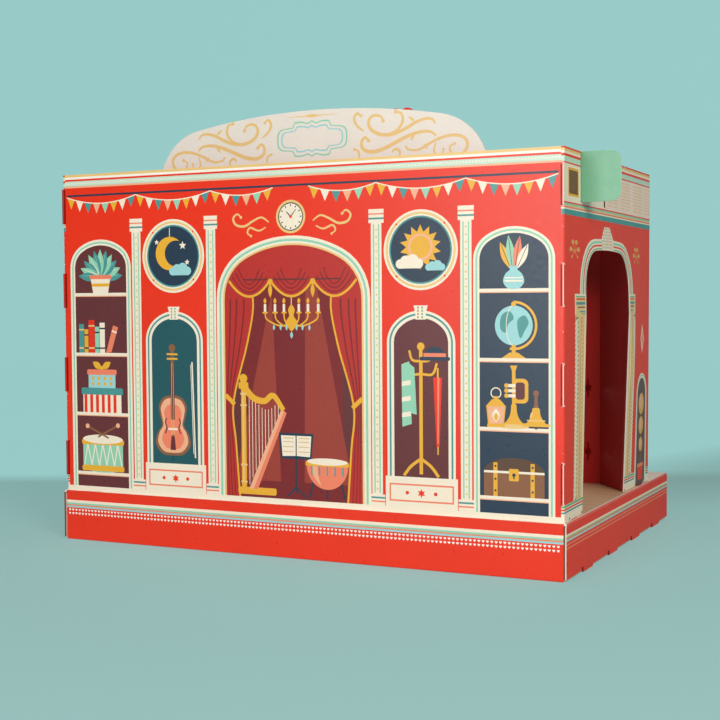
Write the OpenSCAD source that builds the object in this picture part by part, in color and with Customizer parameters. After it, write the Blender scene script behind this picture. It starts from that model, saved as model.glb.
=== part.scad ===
// Toy theatre of folded printed board: a tray whose lid is the stage floor, three walls
// on it, a front with a proscenium opening, a drop-in screen and a drop-in scenery card.
// +Z is up, +Y points to the audience, and the origin is under the middle of the tray.

/* [Board] */
// Thickness of the folded board
board_t = 1.5; // [1:0.1:2.5]
// Thickness of a scenery card
card_t = 1.2; // [0.8:0.1:2]
// Gap on each side of a tab in its slot
tab_fit = 0.2; // [0.1:0.05:0.4]
// Gap that keeps a lift-out piece clear of the walls beside it
lift_gap = 0.4; // [0.3:0.05:1]
// Gap under a lift-out piece at rest
seat_gap = 0.2; // [0.1:0.05:0.4]

/* [Tray] */
// Width of the tray, left to right
tray_w = 424; // [400:1:480]
// Depth of the tray, backstage to audience
tray_d = 297; // [285:1:360]
// Height of the stage floor above the table
deck_top = 40; // [25:1:60]
// Number of locking tabs along a short side
lock_n = 4; // [2:1:4]
// Width of a locking tab, and of the heel in front of it
lock_w = 24; // [10:1:30]
// Spacing of the locking tabs
lock_pitch = 67.6; // [40:0.2:72]
// How far the row of locking tabs lies towards the audience
lock_shift = 5.8; // [-8:0.2:8]
// Height of a short side's lower edge between its heels
heel_h = 1.8; // [0.6:0.1:4]
// Width of the relief cut beside a heel
relief_w = 4.4; // [2:0.2:8]
// Height of the relief cut beside a heel
relief_h = 3.8; // [2:0.2:6]
// Gap between a long side's end and the short side beside it
corner_gap = 0.7; // [0.2:0.1:1.2]
// Length of the flaps tucked into the double sides
corner_flap_l = 65; // [30:1:100]

/* [Walls] */
// Ledge of the tray around the walls
ledge = 2; // [1.6:0.1:5]
// Height of the walls above the stage floor
wall_h = 255.4; // [248:0.2:300]
// Depth of the walls, backstage face to audience edge
wall_d = 237.5; // [230:0.5:260]
// Width of a foot tab in the stage floor
foot_w = 16; // [8:1:20]
// Distance from a wall's end to the middle of its foot tab
foot_in = 26; // [14:1:34]

/* [Corner tongues] */
// Number of tongues up each backstage corner
tongue_n = 4; // [2:1:5]
// Length of a tongue
tongue_l = 28; // [15:1:36]
// Spacing of the tongues
tongue_pitch = 67.8; // [40:0.2:68]
// Height of the lowest tongue's middle above the stage floor
tongue_first = 26.6; // [20:0.2:32]
// How far a tongue stands out of the backstage wall
tongue_out = 1.1; // [0.6:0.1:2]
// Gap beside a tongue where it passes through the backstage wall
tongue_gap = 1; // [0.2:0.1:2]

/* [Side arch] */
// Width of the arch in a side wall
arch_w = 116; // [90:1:130]
// Height of the arch's straight sides
arch_side = 159.6; // [120:0.2:165]
// Rise of the arch's top above its straight sides
arch_rise = 28.8; // [28.4:0.2:40]
// Radius of the arch's shoulders
arch_r = 28; // [20:1:28]
// Distance from the backstage face to the middle of the arch
arch_mid = 105.5; // [100:0.5:120]

/* [Scenery notches] */
// Number of notches in each side wall
notch_n = 2; // [1:1:3]
// Depth of a notch
notch_h = 35.4; // [25:0.2:40]
// Distance from the backstage face to the first notch
notch_first = 39.5; // [25:0.5:45]
// Spacing of the notches
notch_pitch = 59; // [45:0.5:62]
// Play on each side of a card in its notch
notch_play = 0.9; // [0.4:0.1:1.5]

/* [Backdrop card] */
// Gap between the card and the stage floor
card_hang = 0.8; // [0.4:0.1:3]
// How far an ear stands out of the side wall
ear_out = 28.5; // [15:0.5:40]
// Radius of an ear's corners
ear_r = 7.5; // [3:0.5:12]
// Width of the header at its foot
header_w = 284; // [220:1:340]
// Height of the header above the wall tops
header_up = 43.2; // [30:0.2:55]
// Radius of the header's shoulders
header_r = 45; // [35:1:50]
// Rise of the header's curve, foot to crown
header_rise = 53.9; // [52:0.1:60]

/* [Facade] */
// Width of the proscenium opening
proscenium_w = 304; // [260:1:330]
// Height of the proscenium's straight sides
proscenium_side = 140; // [110:1:160]
// Rise of the proscenium's curve
proscenium_rise = 58; // [52:1:66]
// Radius of the proscenium's shoulders
proscenium_r = 50; // [35:1:51]
// Width of the facade's gable at its foot
gable_w = 300; // [220:1:340]
// Height of the gable above the wall tops
gable_up = 24; // [12:1:26]
// Radius of the gable's shoulders
gable_r = 30; // [20:1:32]
// Rise of the gable's curve, foot to crown
gable_rise = 36; // [34:1:44]
// Width of the glued flaps on the side walls
glue_w = 22; // [10:1:30]

/* [Screen] */
// Distance from the backstage face to the screen
screen_mid = 201.5; // [196:0.5:206]
// Width of the screen between its folds
screen_w = 356; // [340:1:376]
// How far the wings turn back towards the backstage
wing_run = 36.5; // [30:0.5:45]
// Height of the screen above the stage floor
screen_h = 246; // [230:1:250]
// Width of the screen's opening
window_w = 262; // [220:1:290]
// Height of the straight sides of the screen's opening
window_side = 132; // [100:1:150]
// Rise of the curve over the screen's opening
window_rise = 50; // [44:1:60]
// Radius of the shoulders of the screen's opening
window_r = 42; // [30:1:43]
// Width of the screen's crest
crest_w = 132; // [100:1:160]
// Height of the crest above the screen's shoulders
crest_up = 62; // [44:1:66]
// Radius of the crest's shoulders
crest_r = 36; // [25:1:38]
// Rise of the crest's curve
crest_rise = 44; // [40:1:48]
// Radius of the two small bosses on the crest
boss_r = 7; // [4:0.5:9]
// Spacing of the bosses
boss_pitch = 11.2; // [8:0.2:16]
// Width of the stem under the bosses
boss_stem = 19.6; // [12:0.2:28]
// Height of the bosses above the crest
boss_up = 12.8; // [10:0.2:16]
// Length of the lacing slits in the screen
slit_l = 15; // [8:1:24]
// Diameter of the hole in a lacing slit
slit_hole_d = 6; // [4:0.5:9]
// Distance from the screen's fold to the lacing slits
slit_in = 10; // [6:0.5:14]
// Height of the lower lacing slit above the stage floor
slit_first = 26.4; // [15:0.2:40]
// Spacing of the lacing slits
slit_pitch = 52.8; // [30:0.2:80]

/* [Hidden] */
$fn = 96;

// Overlap that makes a cut break through cleanly, or a tab join its board
cut = 1;
// Facets along an arch's shoulder
arc_steps = 12;
// Colours of the print and of the bare board
red = "#d8402c";
mint = "#82be96";
kraft = "#a9805c";
deep_red = "#a31712";
// Faces of the walls
y_back = -tray_d / 2 + ledge;
y_front = y_back + wall_d;
x_out = tray_w / 2 - ledge;
x_in = x_out - board_t;
wall_top = deck_top + wall_h;
deck_under = deck_top - board_t;
// The double short sides of the tray, from the outside in
x_side = tray_w / 2 - board_t;
x_flap = x_side - board_t;
x_liner = x_flap - board_t;
roll_under = deck_under - board_t;
// The screen's stage side, and where its wings end
y_screen = y_back + screen_mid;
x_wing = x_in - lift_gap;
// Middles of the foot tabs
foot_x = [-x_out + foot_in, 0, x_out - foot_in];
foot_y = [y_back + foot_in, y_front - foot_in];
facade_foot_x = (proscenium_w / 2 + x_in) / 2;

// A flat sheet across the theatre: x and height, standing on y0 to y0 + t.
module across(y0, t) {
  translate([0, y0 + t, 0]) rotate([90, 0, 0]) linear_extrude(t) children();
}

// A flat sheet along the theatre: y and height, standing on x0 to x0 + t.
module along(x0, t) {
  translate([x0, 0, 0]) rotate([90, 0, 90]) linear_extrude(t) children();
}

// A sheet and its mirror image in the theatre's middle plane share one module.
module on_side(side) {
  if (side > 0) children();
  else mirror([1, 0, 0]) children();
}

// Points along an arc about c, without the last one.
function arc(c, r, from, to, n) =
  [for (i = [0 : n - 1]) let (t = from + (to - from) * i / n) c + r * [cos(t), sin(t)]];

// Three-centred arch of width w: straight sides, round shoulders and a flat crown arc
// that is tangent to both shoulders.
module basket_arch(w, side, rise, r) {
  a = w / 2 - r;
  crown_r = (a * a + rise * rise - r * r) / (2 * (rise - r));
  crown_y = side + rise - crown_r;
  meet = atan2(side - crown_y, a);
  polygon(concat([[-w / 2, 0], [w / 2, 0]],
                 arc([a, side], r, 0, meet, arc_steps),
                 arc([0, crown_y], crown_r, meet, 180 - meet, 2 * arc_steps),
                 arc([-a, side], r, 180 - meet, 180, arc_steps),
                 [[-w / 2, side]]));
}

// Places a child at each locking tab of a short side.
module at_locks() {
  for (i = [0 : lock_n - 1])
    translate([(i - (lock_n - 1) / 2) * lock_pitch + lock_shift, 0]) children();
}

// Places a child at each corner tongue's middle height.
module at_tongues() {
  for (i = [0 : tongue_n - 1]) translate([0, deck_top + tongue_first + i * tongue_pitch]) children();
}

// Tray floor, open along its short edges where the locking tabs come down.
module tray_bottom() {
  slot = lock_w + 2 * tab_fit;
  color(kraft) difference() {
    translate([-x_side, -tray_d / 2 + board_t, 0]) cube([2 * x_side, tray_d - 2 * board_t, board_t]);
    for (s = [-1, 1]) translate([0, 0, -cut]) linear_extrude(board_t + 2 * cut)
      rotate(90) at_locks() translate([-slot / 2, s > 0 ? -x_side - cut : x_liner - tab_fit])
        square([slot, x_side - x_liner + tab_fit + cut]);
  }
}

// Long side of the tray, between the two short sides, up to the stage floor.
module tray_long_side() {
  translate([-x_side + corner_gap, 0]) square([2 * (x_side - corner_gap), deck_top]);
}

module tray_backstage_side() {
  color(red) across(-tray_d / 2, board_t) tray_long_side();
}

module tray_audience_side() {
  color(red) across(tray_d / 2 - board_t, board_t) tray_long_side();
}

// Outer layer of a short side: its lower edge stands on heels with a relief cut beside
// each, and its upper edge is rolled inwards over the liner.
module tray_short_side(side) {
  color(red) on_side(side) {
    along(x_side, board_t) {
      difference() {
        translate([-tray_d / 2, heel_h]) square([tray_d, deck_under - heel_h]);
        at_locks() translate([-lock_w / 2 - relief_w, heel_h - cut])
          square([relief_w, relief_h - heel_h + cut]);
      }
      at_locks() translate([-lock_w / 2, 0]) square([lock_w, heel_h + cut]);
    }
    translate([x_liner, -tray_d / 2 + board_t, roll_under])
      cube([x_side + board_t / 2 - x_liner, tray_d - 2 * board_t, board_t]);
  }
}

module tray_left_side() { tray_short_side(-1); }
module tray_right_side() { tray_short_side(1); }

// Inner layer of a short side, with the locking tabs on its lower edge.
module tray_liner(side) {
  color(kraft) on_side(side) along(x_liner, board_t) {
    translate([-tray_d / 2 + board_t + tab_fit, board_t])
      square([tray_d - 2 * (board_t + tab_fit), roll_under - board_t]);
    at_locks() translate([-lock_w / 2, 0]) square([lock_w, board_t + cut]);
  }
}

module tray_left_liner() { tray_liner(-1); }
module tray_right_liner() { tray_liner(1); }

// Four flaps of the long sides, tucked between the layers of the short sides.
module tray_corner_flaps() {
  color(kraft) for (sx = [-1, 1]) for (sy = [-1, 1]) on_side(sx)
    along(x_flap, board_t)
      translate([sy > 0 ? tray_d / 2 - board_t - corner_flap_l : -tray_d / 2 + board_t, board_t])
        square([corner_flap_l, roll_under - board_t]);
}

// Stage floor with a slot for every foot tab.
module stage_deck() {
  slot = foot_w + 2 * tab_fit;
  gap = board_t + 2 * tab_fit;
  color(kraft) translate([0, 0, deck_under]) linear_extrude(board_t) difference() {
    translate([-tray_w / 2, -tray_d / 2 + board_t]) square([tray_w, tray_d - 2 * board_t]);
    for (x = foot_x) translate([x - slot / 2, -tray_d / 2])
      square([slot, y_back + board_t + tab_fit + tray_d / 2]);
    for (s = [-1, 1]) for (y = foot_y)
      translate([s * (x_out - board_t / 2) - gap / 2, y - slot / 2]) square([gap, slot]);
    for (s = [-1, 1]) translate([s * facade_foot_x - slot / 2, y_front - board_t - tab_fit])
      square([slot, gap]);
  }
}

// A foot tab under a wall.
module foot() {
  translate([-foot_w / 2, deck_under]) square([foot_w, board_t + cut]);
}

// Backstage wall, cut back at its edges where the corner tongues pass.
module backstage_wall() {
  color(red) across(y_back, board_t) {
    difference() {
      translate([-x_out, deck_top]) square([2 * x_out, wall_h]);
      for (s = [-1, 1]) translate([s * x_out, 0]) at_tongues()
        square([2 * (board_t + tongue_gap), tongue_l + 2 * tab_fit], center = true);
    }
    for (x = foot_x) translate([x, 0]) foot();
  }
}

// Side wall with its arch, its scenery notches and the tongues at the backstage corner.
module side_wall(side) {
  notch_w = card_t + 2 * notch_play;
  color(red) on_side(side) along(x_in, board_t) {
    difference() {
      translate([y_back + board_t, deck_top]) square([wall_d - board_t, wall_h]);
      translate([y_back + arch_mid, deck_top - cut])
        basket_arch(arch_w, arch_side + cut, arch_rise, arch_r);
      for (i = [0 : notch_n - 1])
        translate([y_back + notch_first + i * notch_pitch - notch_w / 2, wall_top - notch_h])
          square([notch_w, notch_h + cut]);
    }
    translate([y_back - tongue_out, 0]) at_tongues()
      translate([0, -tongue_l / 2]) square([tongue_out + board_t + cut, tongue_l]);
    for (y = foot_y) translate([y, 0]) foot();
  }
}

module left_wall() { side_wall(-1); }
module right_wall() { side_wall(1); }

// Front towards the audience: proscenium opening below, low gable above.
module facade() {
  // Straight foot of the gable, hidden in the front
  gable_foot = board_t;
  color(red) across(y_front - board_t, board_t) {
    difference() {
      union() {
        translate([-x_in, deck_top]) square([2 * x_in, wall_h]);
        translate([0, wall_top + gable_up - gable_rise - gable_foot])
          basket_arch(gable_w, gable_foot, gable_rise, gable_r);
      }
      translate([0, deck_top - cut])
        basket_arch(proscenium_w, proscenium_side + cut, proscenium_rise, proscenium_r);
    }
    for (s = [-1, 1]) translate([s * facade_foot_x, 0]) foot();
  }
}

// End of the facade, folded back and glued to the side wall.
module facade_flap(side) {
  color(deep_red) on_side(side) along(x_in - board_t, board_t)
    translate([y_front - board_t - glue_w, deck_top]) square([glue_w, wall_h]);
}

module facade_left_flap() { facade_flap(-1); }
module facade_right_flap() { facade_flap(1); }

// Flat middle of the screen: opening, crest with two bosses, and lacing slits.
module screen_panel() {
  foot_z = deck_top + seat_gap;
  shoulder_z = deck_top + screen_h;
  color(deep_red) across(y_screen, board_t) difference() {
    union() {
      translate([-screen_w / 2, foot_z]) square([screen_w, shoulder_z - foot_z]);
      translate([0, shoulder_z - crest_rise])
        basket_arch(crest_w, crest_up, crest_rise, crest_r);
      for (s = [-1, 1]) translate([s * boss_pitch / 2, shoulder_z + crest_up + boss_up - boss_r])
        circle(boss_r);
      translate([-boss_stem / 2, shoulder_z]) square([boss_stem, crest_up + boss_up - boss_r]);
    }
    translate([0, foot_z - cut]) basket_arch(window_w, window_side + cut, window_rise, window_r);
    for (s = [-1, 1]) for (k = [0, 1])
      translate([s * (screen_w / 2 - slit_in), foot_z + slit_first + k * slit_pitch]) {
        square([board_t, slit_l], center = true);
        circle(d = slit_hole_d);
      }
  }
}

// Wing of the screen, folded back until it meets the side wall.
module screen_wing(side) {
  fold = [screen_w / 2, y_screen];
  tip = [x_wing, y_screen - wing_run];
  run = tip - fold;
  slant = norm(run) / run[0];
  // Where the wing's audience face meets the fold and the wall
  fold_back = [fold[0] + board_t * (norm(run) - run[0]) / wing_run, y_screen + board_t];
  tip_back = [x_wing, tip[1] + board_t * slant];
  color(deep_red) on_side(side) translate([0, 0, deck_top + seat_gap])
    linear_extrude(screen_h - seat_gap)
      polygon([fold, tip, tip_back, fold_back, [fold[0], y_screen + board_t]]);
}

module screen_left_wing() { screen_wing(-1); }
module screen_right_wing() { screen_wing(1); }

// Scenery card that hangs by its ears in the first notches.
module backdrop_card() {
  ear_z = wall_top - notch_h + seat_gap;
  ear_x = x_out + ear_out;
  body_x = x_in - lift_gap;
  // Straight foot of the header, hidden in the card's body
  header_foot = card_t;
  color(mint) across(y_back + notch_first - card_t / 2, card_t) {
    translate([-body_x, deck_top + card_hang]) square([2 * body_x, wall_h - card_hang]);
    translate([-ear_x + ear_r, ear_z]) square([2 * (ear_x - ear_r), wall_top - ear_z]);
    translate([-ear_x, ear_z + ear_r]) square([2 * ear_x, wall_top - ear_z - 2 * ear_r]);
    for (s = [-1, 1]) for (z = [ear_z + ear_r, wall_top - ear_r])
      translate([s * (ear_x - ear_r), z]) circle(ear_r);
    translate([0, wall_top + header_up - header_rise - header_foot])
      basket_arch(header_w, header_foot, header_rise, header_r);
  }
}

tray_bottom();
tray_backstage_side();
tray_audience_side();
tray_left_side();
tray_right_side();
tray_left_liner();
tray_right_liner();
tray_corner_flaps();
stage_deck();
backstage_wall();
left_wall();
right_wall();
facade();
facade_left_flap();
facade_right_flap();
screen_panel();
screen_left_wing();
screen_right_wing();
backdrop_card();
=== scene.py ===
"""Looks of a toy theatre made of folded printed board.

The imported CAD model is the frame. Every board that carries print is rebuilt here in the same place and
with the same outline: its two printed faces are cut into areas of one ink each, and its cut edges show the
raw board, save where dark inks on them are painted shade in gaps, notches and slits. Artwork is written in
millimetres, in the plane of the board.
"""

import bpy
import numpy as np
from bpy.props import FloatProperty, FloatVectorProperty, PointerProperty
from bpy.types import Operator, Panel, PropertyGroup
from mathutils import Matrix, Vector
from mathutils.geometry import delaunay_2d_cdt


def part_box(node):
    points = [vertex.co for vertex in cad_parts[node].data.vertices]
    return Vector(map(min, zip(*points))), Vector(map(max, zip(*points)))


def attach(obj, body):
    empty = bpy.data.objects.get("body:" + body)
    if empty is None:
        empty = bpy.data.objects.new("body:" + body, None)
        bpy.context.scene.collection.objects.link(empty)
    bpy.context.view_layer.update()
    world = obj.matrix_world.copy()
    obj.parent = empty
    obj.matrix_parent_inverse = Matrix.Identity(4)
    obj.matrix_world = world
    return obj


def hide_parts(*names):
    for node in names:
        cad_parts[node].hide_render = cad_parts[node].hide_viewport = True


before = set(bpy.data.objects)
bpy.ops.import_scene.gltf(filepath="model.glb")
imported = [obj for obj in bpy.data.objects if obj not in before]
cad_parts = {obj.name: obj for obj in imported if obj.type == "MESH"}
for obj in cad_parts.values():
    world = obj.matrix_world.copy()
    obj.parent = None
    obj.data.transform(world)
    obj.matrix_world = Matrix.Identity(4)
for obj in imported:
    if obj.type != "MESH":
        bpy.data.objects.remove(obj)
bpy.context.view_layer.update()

bl_info = {
    "name": "Toy theatre",
    "version": (1, 0, 0),
    "blender": (4, 5, 0),
    "location": "3D View > Sidebar > Theatre",
    "description": "Prints the boards of a toy theatre and sets its stage",
    "category": "Object",
}

MM = 0.001
# Inks without varnish, and the gloss of varnish that hands have rubbed
MATT, RUBBED = ("cut", "worn", "deep_red", "apron", "floor", "floor_line"), 0.4
# Thickness of the folded board, and the tops of the stage floor and of the walls, in millimetres
BOARD = float(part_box("backstage_wall")[1][1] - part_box("backstage_wall")[0][1]) / MM
DECK_TOP, WALL_TOP = (float(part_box(node)[1][2]) / MM for node in ("stage_deck", "backstage_wall"))
# Heights of the side walls' frieze and plinth, and of the screen's swags above the table, in millimetres
FRIEZE, PLINTH, SWAGS = 25.7, 12.2, 284.0


def srgb(r, g, b):
    """Linear values of a colour given as it is seen, 0 to 255 a channel."""
    c = np.array([r, g, b]) / 255.0
    return tuple(np.where(c <= 0.04045, c / 12.92, ((c + 0.055) / 1.055) ** 2.4).tolist())


def box_mm(node):
    """Lowest and highest corner of a CAD node, in millimetres."""
    low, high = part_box(node)
    return np.array(low) / MM, np.array(high) / MM


# Outlines: closed rows of points, in millimetres


def rect(x0, y0, x1, y1):
    """Rectangle between two corners."""
    return np.array([[x0, y0], [x1, y0], [x1, y1], [x0, y1]], float)


def poly(*points):
    """Straight-sided outline through the points."""
    return np.array(points, float)


def oval(x, y, rx, ry=None, start=0.0, stop=360.0):
    """Ellipse x + rx cos t, y + ry sin t; a part of a turn is closed by its chord."""
    ry = rx if ry is None else ry
    n = int(10 + 3.2 * np.sqrt(max(rx, ry)) * abs(stop - start) / 200)
    t = np.radians(np.linspace(start, stop, n, endpoint=abs(stop - start) < 359.9))
    return np.stack([x + rx * np.cos(t), y + ry * np.sin(t)], 1)


def soft_rect(x0, y0, x1, y1, r):
    """Rectangle whose corners are quarter circles of radius r."""
    t = np.radians(np.linspace(0, 90, 5))
    c = r * np.stack([np.cos(t), np.sin(t)], 1)
    turn = np.array([[0.0, 1.0], [-1.0, 0.0]])
    parts, centres = [], [(x1 - r, y1 - r), (x0 + r, y1 - r), (x0 + r, y0 + r), (x1 - r, y0 + r)]
    for centre in centres:
        parts.append(c + centre)
        c = c @ turn
    return np.concatenate(parts)


def arch(x, y, w, side, rise, r, n=8):
    """Three-centred arch: straight sides, shoulders of radius r and a crown tangent to both."""
    a = w / 2 - r
    crown = (a * a + rise * rise - r * r) / (2 * (rise - r))
    cy = y + side + rise - crown
    meet = np.arctan2(y + side - cy, a)
    t = np.linspace(0, meet, n)
    right = np.stack([x + a + r * np.cos(t), y + side + r * np.sin(t)], 1)
    t = np.linspace(meet, np.pi - meet, 2 * n)[1:-1]
    top = np.stack([x + crown * np.cos(t), cy + crown * np.sin(t)], 1)
    left = right[::-1] * [-1, 1] + [2 * x, 0]
    return np.concatenate([[[x - w / 2, y], [x + w / 2, y]], right, top, left])


def curve(points, steps=5, closed=False):
    """Catmull-Rom curve through the points: each stretch is a cubic with the neighbours' slope at its ends."""
    p = np.array(points, float)
    before, after = (p[-1:], p[:2]) if closed else (2 * p[:1] - p[1:2], 2 * p[-1:] - p[-2:-1])
    q = np.concatenate([before, p, after])
    t = np.arange(steps)[:, None, None] / steps
    a, b, c, d = q[:-3], q[1:-2], q[2:-1], q[3:]
    run = 0.5 * (2 * b + (c - a) * t + (2 * a - 5 * b + 4 * c - d) * t**2 + (3 * b - a - 3 * c + d) * t**3)
    run = run.transpose(1, 0, 2).reshape(-1, 2)
    return run if closed else np.concatenate([run, p[-1:]])


def band(path, widths):
    """Band along a path: each point moves half its width along the path's normal, to both sides."""
    p = np.array(path, float)
    way = np.gradient(p, axis=0)
    way /= np.maximum(np.linalg.norm(way, axis=1, keepdims=True), 1e-9)
    side = np.stack([-way[:, 1], way[:, 0]], 1) * (widths[:, None] / 2)
    return np.concatenate([p + side, (p - side)[::-1]])


def ribbon(path, w, tip=None):
    """Band whose width runs evenly from w to tip."""
    return band(path, np.linspace(w, w if tip is None else tip, len(path)))


def taper(path, w):
    """Band that swells to w in the middle: its width is w (0.55 + 0.45 sin(pi t)), t from 0 to 1."""
    return band(path, (0.55 + 0.45 * np.sin(np.pi * np.linspace(0, 1, len(path)))) * w)


def star(x, y, r, inner, n):
    """Star whose radius alternates between r and inner, with one point up."""
    t = np.radians(90 + np.arange(2 * n) * 180.0 / n)
    k = np.where(np.arange(2 * n) % 2, inner, r)
    return np.stack([x + k * np.cos(t), y + k * np.sin(t)], 1)


def heart(x, y, s):
    """Heart curve (16 sin^3 t, 13 cos t - 5 cos 2t - 2 cos 3t - cos 4t), s wide."""
    t = np.linspace(0, 2 * np.pi, 14, endpoint=False)
    u = 16 * np.sin(t) ** 3
    v = 13 * np.cos(t) - 5 * np.cos(2 * t) - 2 * np.cos(3 * t) - np.cos(4 * t)
    return np.stack([x + u * s / 32, y + v * s / 32], 1)


def leaf(x0, y0, x1, y1, w):
    """Pointed oval from one tip to the other, w wide: offset w/2 sin(pi t) to both sides."""
    a, b = np.array([x0, y0], float), np.array([x1, y1], float)
    t = np.linspace(0, 1, 9)[:, None]
    way = (b - a) / max(np.linalg.norm(b - a), 1e-9)
    side = np.array([-way[1], way[0]]) * np.sin(np.pi * t) * w / 2
    line = a + (b - a) * t
    return np.concatenate([line + side, (line - side)[-2:0:-1]])


def swag(x0, x1, y, drop, rise=0.0):
    """Hanging cloth between two points: straight above, a parabola of that drop below."""
    t = np.linspace(0, 1, 13)
    below = np.stack([x0 + (x1 - x0) * t, y + rise * t - drop * 4 * t * (1 - t)], 1)
    return np.concatenate([below, [[x1, y + rise + 0.01], [x0, y + 0.01]]])


def mirrored(half):
    """Outline closed by the mirror image of its right half."""
    return np.concatenate([half, half[::-1] * [-1, 1]])


class Print:
    """Artwork on one face of a board: outlines in printing order, each with its ink."""

    def __init__(self, base="red", of=None, move=None):
        self.base = base
        self.areas = [] if of is None else of.areas
        self.move = np.array([[1, 0, 0], [0, 1, 0]], float) if move is None else move

    def at(self, x, y, s=1.0, flip=False, turn=0.0):
        """The same print, with its origin moved to (x, y), turned, scaled and mirrored left to right."""
        c, n, k = np.cos(np.radians(turn)) * s, np.sin(np.radians(turn)) * s, -1 if flip else 1
        local = np.array([[k * c, -n * k, x], [n, c, y], [0, 0, 1]])
        return Print(self.base, self, self.move @ local)

    def fill(self, ink, *outlines):
        """Prints each outline as a full area of the ink."""
        for outline in outlines:
            self.areas.append((ink, np.asarray(outline) @ self.move[:, :2].T + self.move[:, 2]))

    def bands(self, x0, x1, top, *bands):
        """Level bands, from the top down, each given by its ink and height. Returns where they end."""
        for ink, height in bands:
            if ink:
                self.fill(ink, rect(x0, top - height, x1, top))
            top -= height
        return top


# Boards: printed solids on the CAD outlines


def cad_faces(node, axis, side):
    """Triangles of a CAD node that lie on its outermost plane across an axis, as flat points in millimetres,
    and the level of that plane."""
    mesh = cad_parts[node].data
    mesh.calc_loop_triangles()
    co = np.empty(len(mesh.vertices) * 3, np.float32)
    mesh.vertices.foreach_get("co", co)
    tri = np.empty(len(mesh.loop_triangles) * 3, np.int32)
    mesh.loop_triangles.foreach_get("vertices", tri)
    co = co.reshape(-1, 3).astype(float) / MM
    corner = co[tri.reshape(-1, 3)]
    level = co[:, axis].max() if side > 0 else co[:, axis].min()
    flat = (np.abs(corner[:, :, axis] - level) < 2e-3).all(1)
    return corner[flat][:, :, [a for a in range(3) if a != axis]], level


def inside(points, outline):
    """Which points lie in a closed outline: a level ray to the right crosses its sides an odd number of times."""
    a, b = outline, np.roll(outline, -1, axis=0)
    held = np.flatnonzero(((points > a.min(0)) & (points < a.max(0))).all(1))
    x, y = points[held].T
    rise = np.where(b[:, 1] == a[:, 1], 1.0, b[:, 1] - a[:, 1])
    cross = a[:, 0] + (y[:, None] - a[:, 1]) * (b[:, 0] - a[:, 0]) / rise
    hits = ((a[:, 1] > y[:, None]) != (b[:, 1] > y[:, None])) & (x[:, None] < cross)
    return held[hits.sum(1) % 2 == 1]


def cut_into_inks(faces, front, back, lines, dots):
    """Cuts the flat CAD faces along every outline of both prints and the extra lines, with loose dots between.
    Returns points, triangles and each triangle's area number on the front and on the back, 0 for the base."""
    parts = list(faces) + [a for _, a in front.areas] + [a for _, a in back.areas]
    sizes = np.array([len(p) for p in parts])
    first = np.repeat(np.cumsum(sizes) - sizes, sizes)
    here = np.arange(sizes.sum())
    after = np.where(here + 1 < first + np.repeat(sizes, sizes), here + 1, first)
    extra = np.array(lines, float).reshape(-1, 2)
    pair = len(here) + np.arange(len(extra)).reshape(-1, 2)
    edges = np.concatenate([np.stack([here, after], 1), pair])
    points = np.concatenate(parts + [extra, dots])
    out = delaunay_2d_cdt(points.tolist(), edges.tolist(), [], 0, 1e-4)
    uv, tri = np.array(out[0], float), np.array(out[2], int)
    middle = uv[tri].mean(1)
    on_board = np.zeros(len(tri), bool)
    for face in faces:
        on_board[inside(middle, face)] = True
    tri, middle = tri[on_board], middle[on_board]
    tops = []
    for side in (front, back):
        top = np.zeros(len(tri), int)
        for i, (_, outline) in enumerate(side.areas):
            top[inside(middle, outline)] = i + 1
        tops.append(top)
    return uv, tri, *tops


def bulge(wall, y, z, swell=4.4, draw=2.1):
    """How far a side wall swells outwards: swell sin^2(pi u) sin^3(pi v) - draw sin^0.6(0.9 pi u) (1 - v)^4,
    u and v running from 0 to 1 along the wall and up it."""
    low, high = box_mm(wall)
    u, v = (np.clip((a - low[i]) / (high[i] - low[i]), 0, 1) for i, a in ((1, y), (2, z)))
    out = swell * np.sin(np.pi * u) ** 2 * np.sin(np.pi * v) ** 3
    return out - draw * np.sin(0.9 * np.pi * u) ** 0.6 * (1 - v) ** 4


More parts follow.
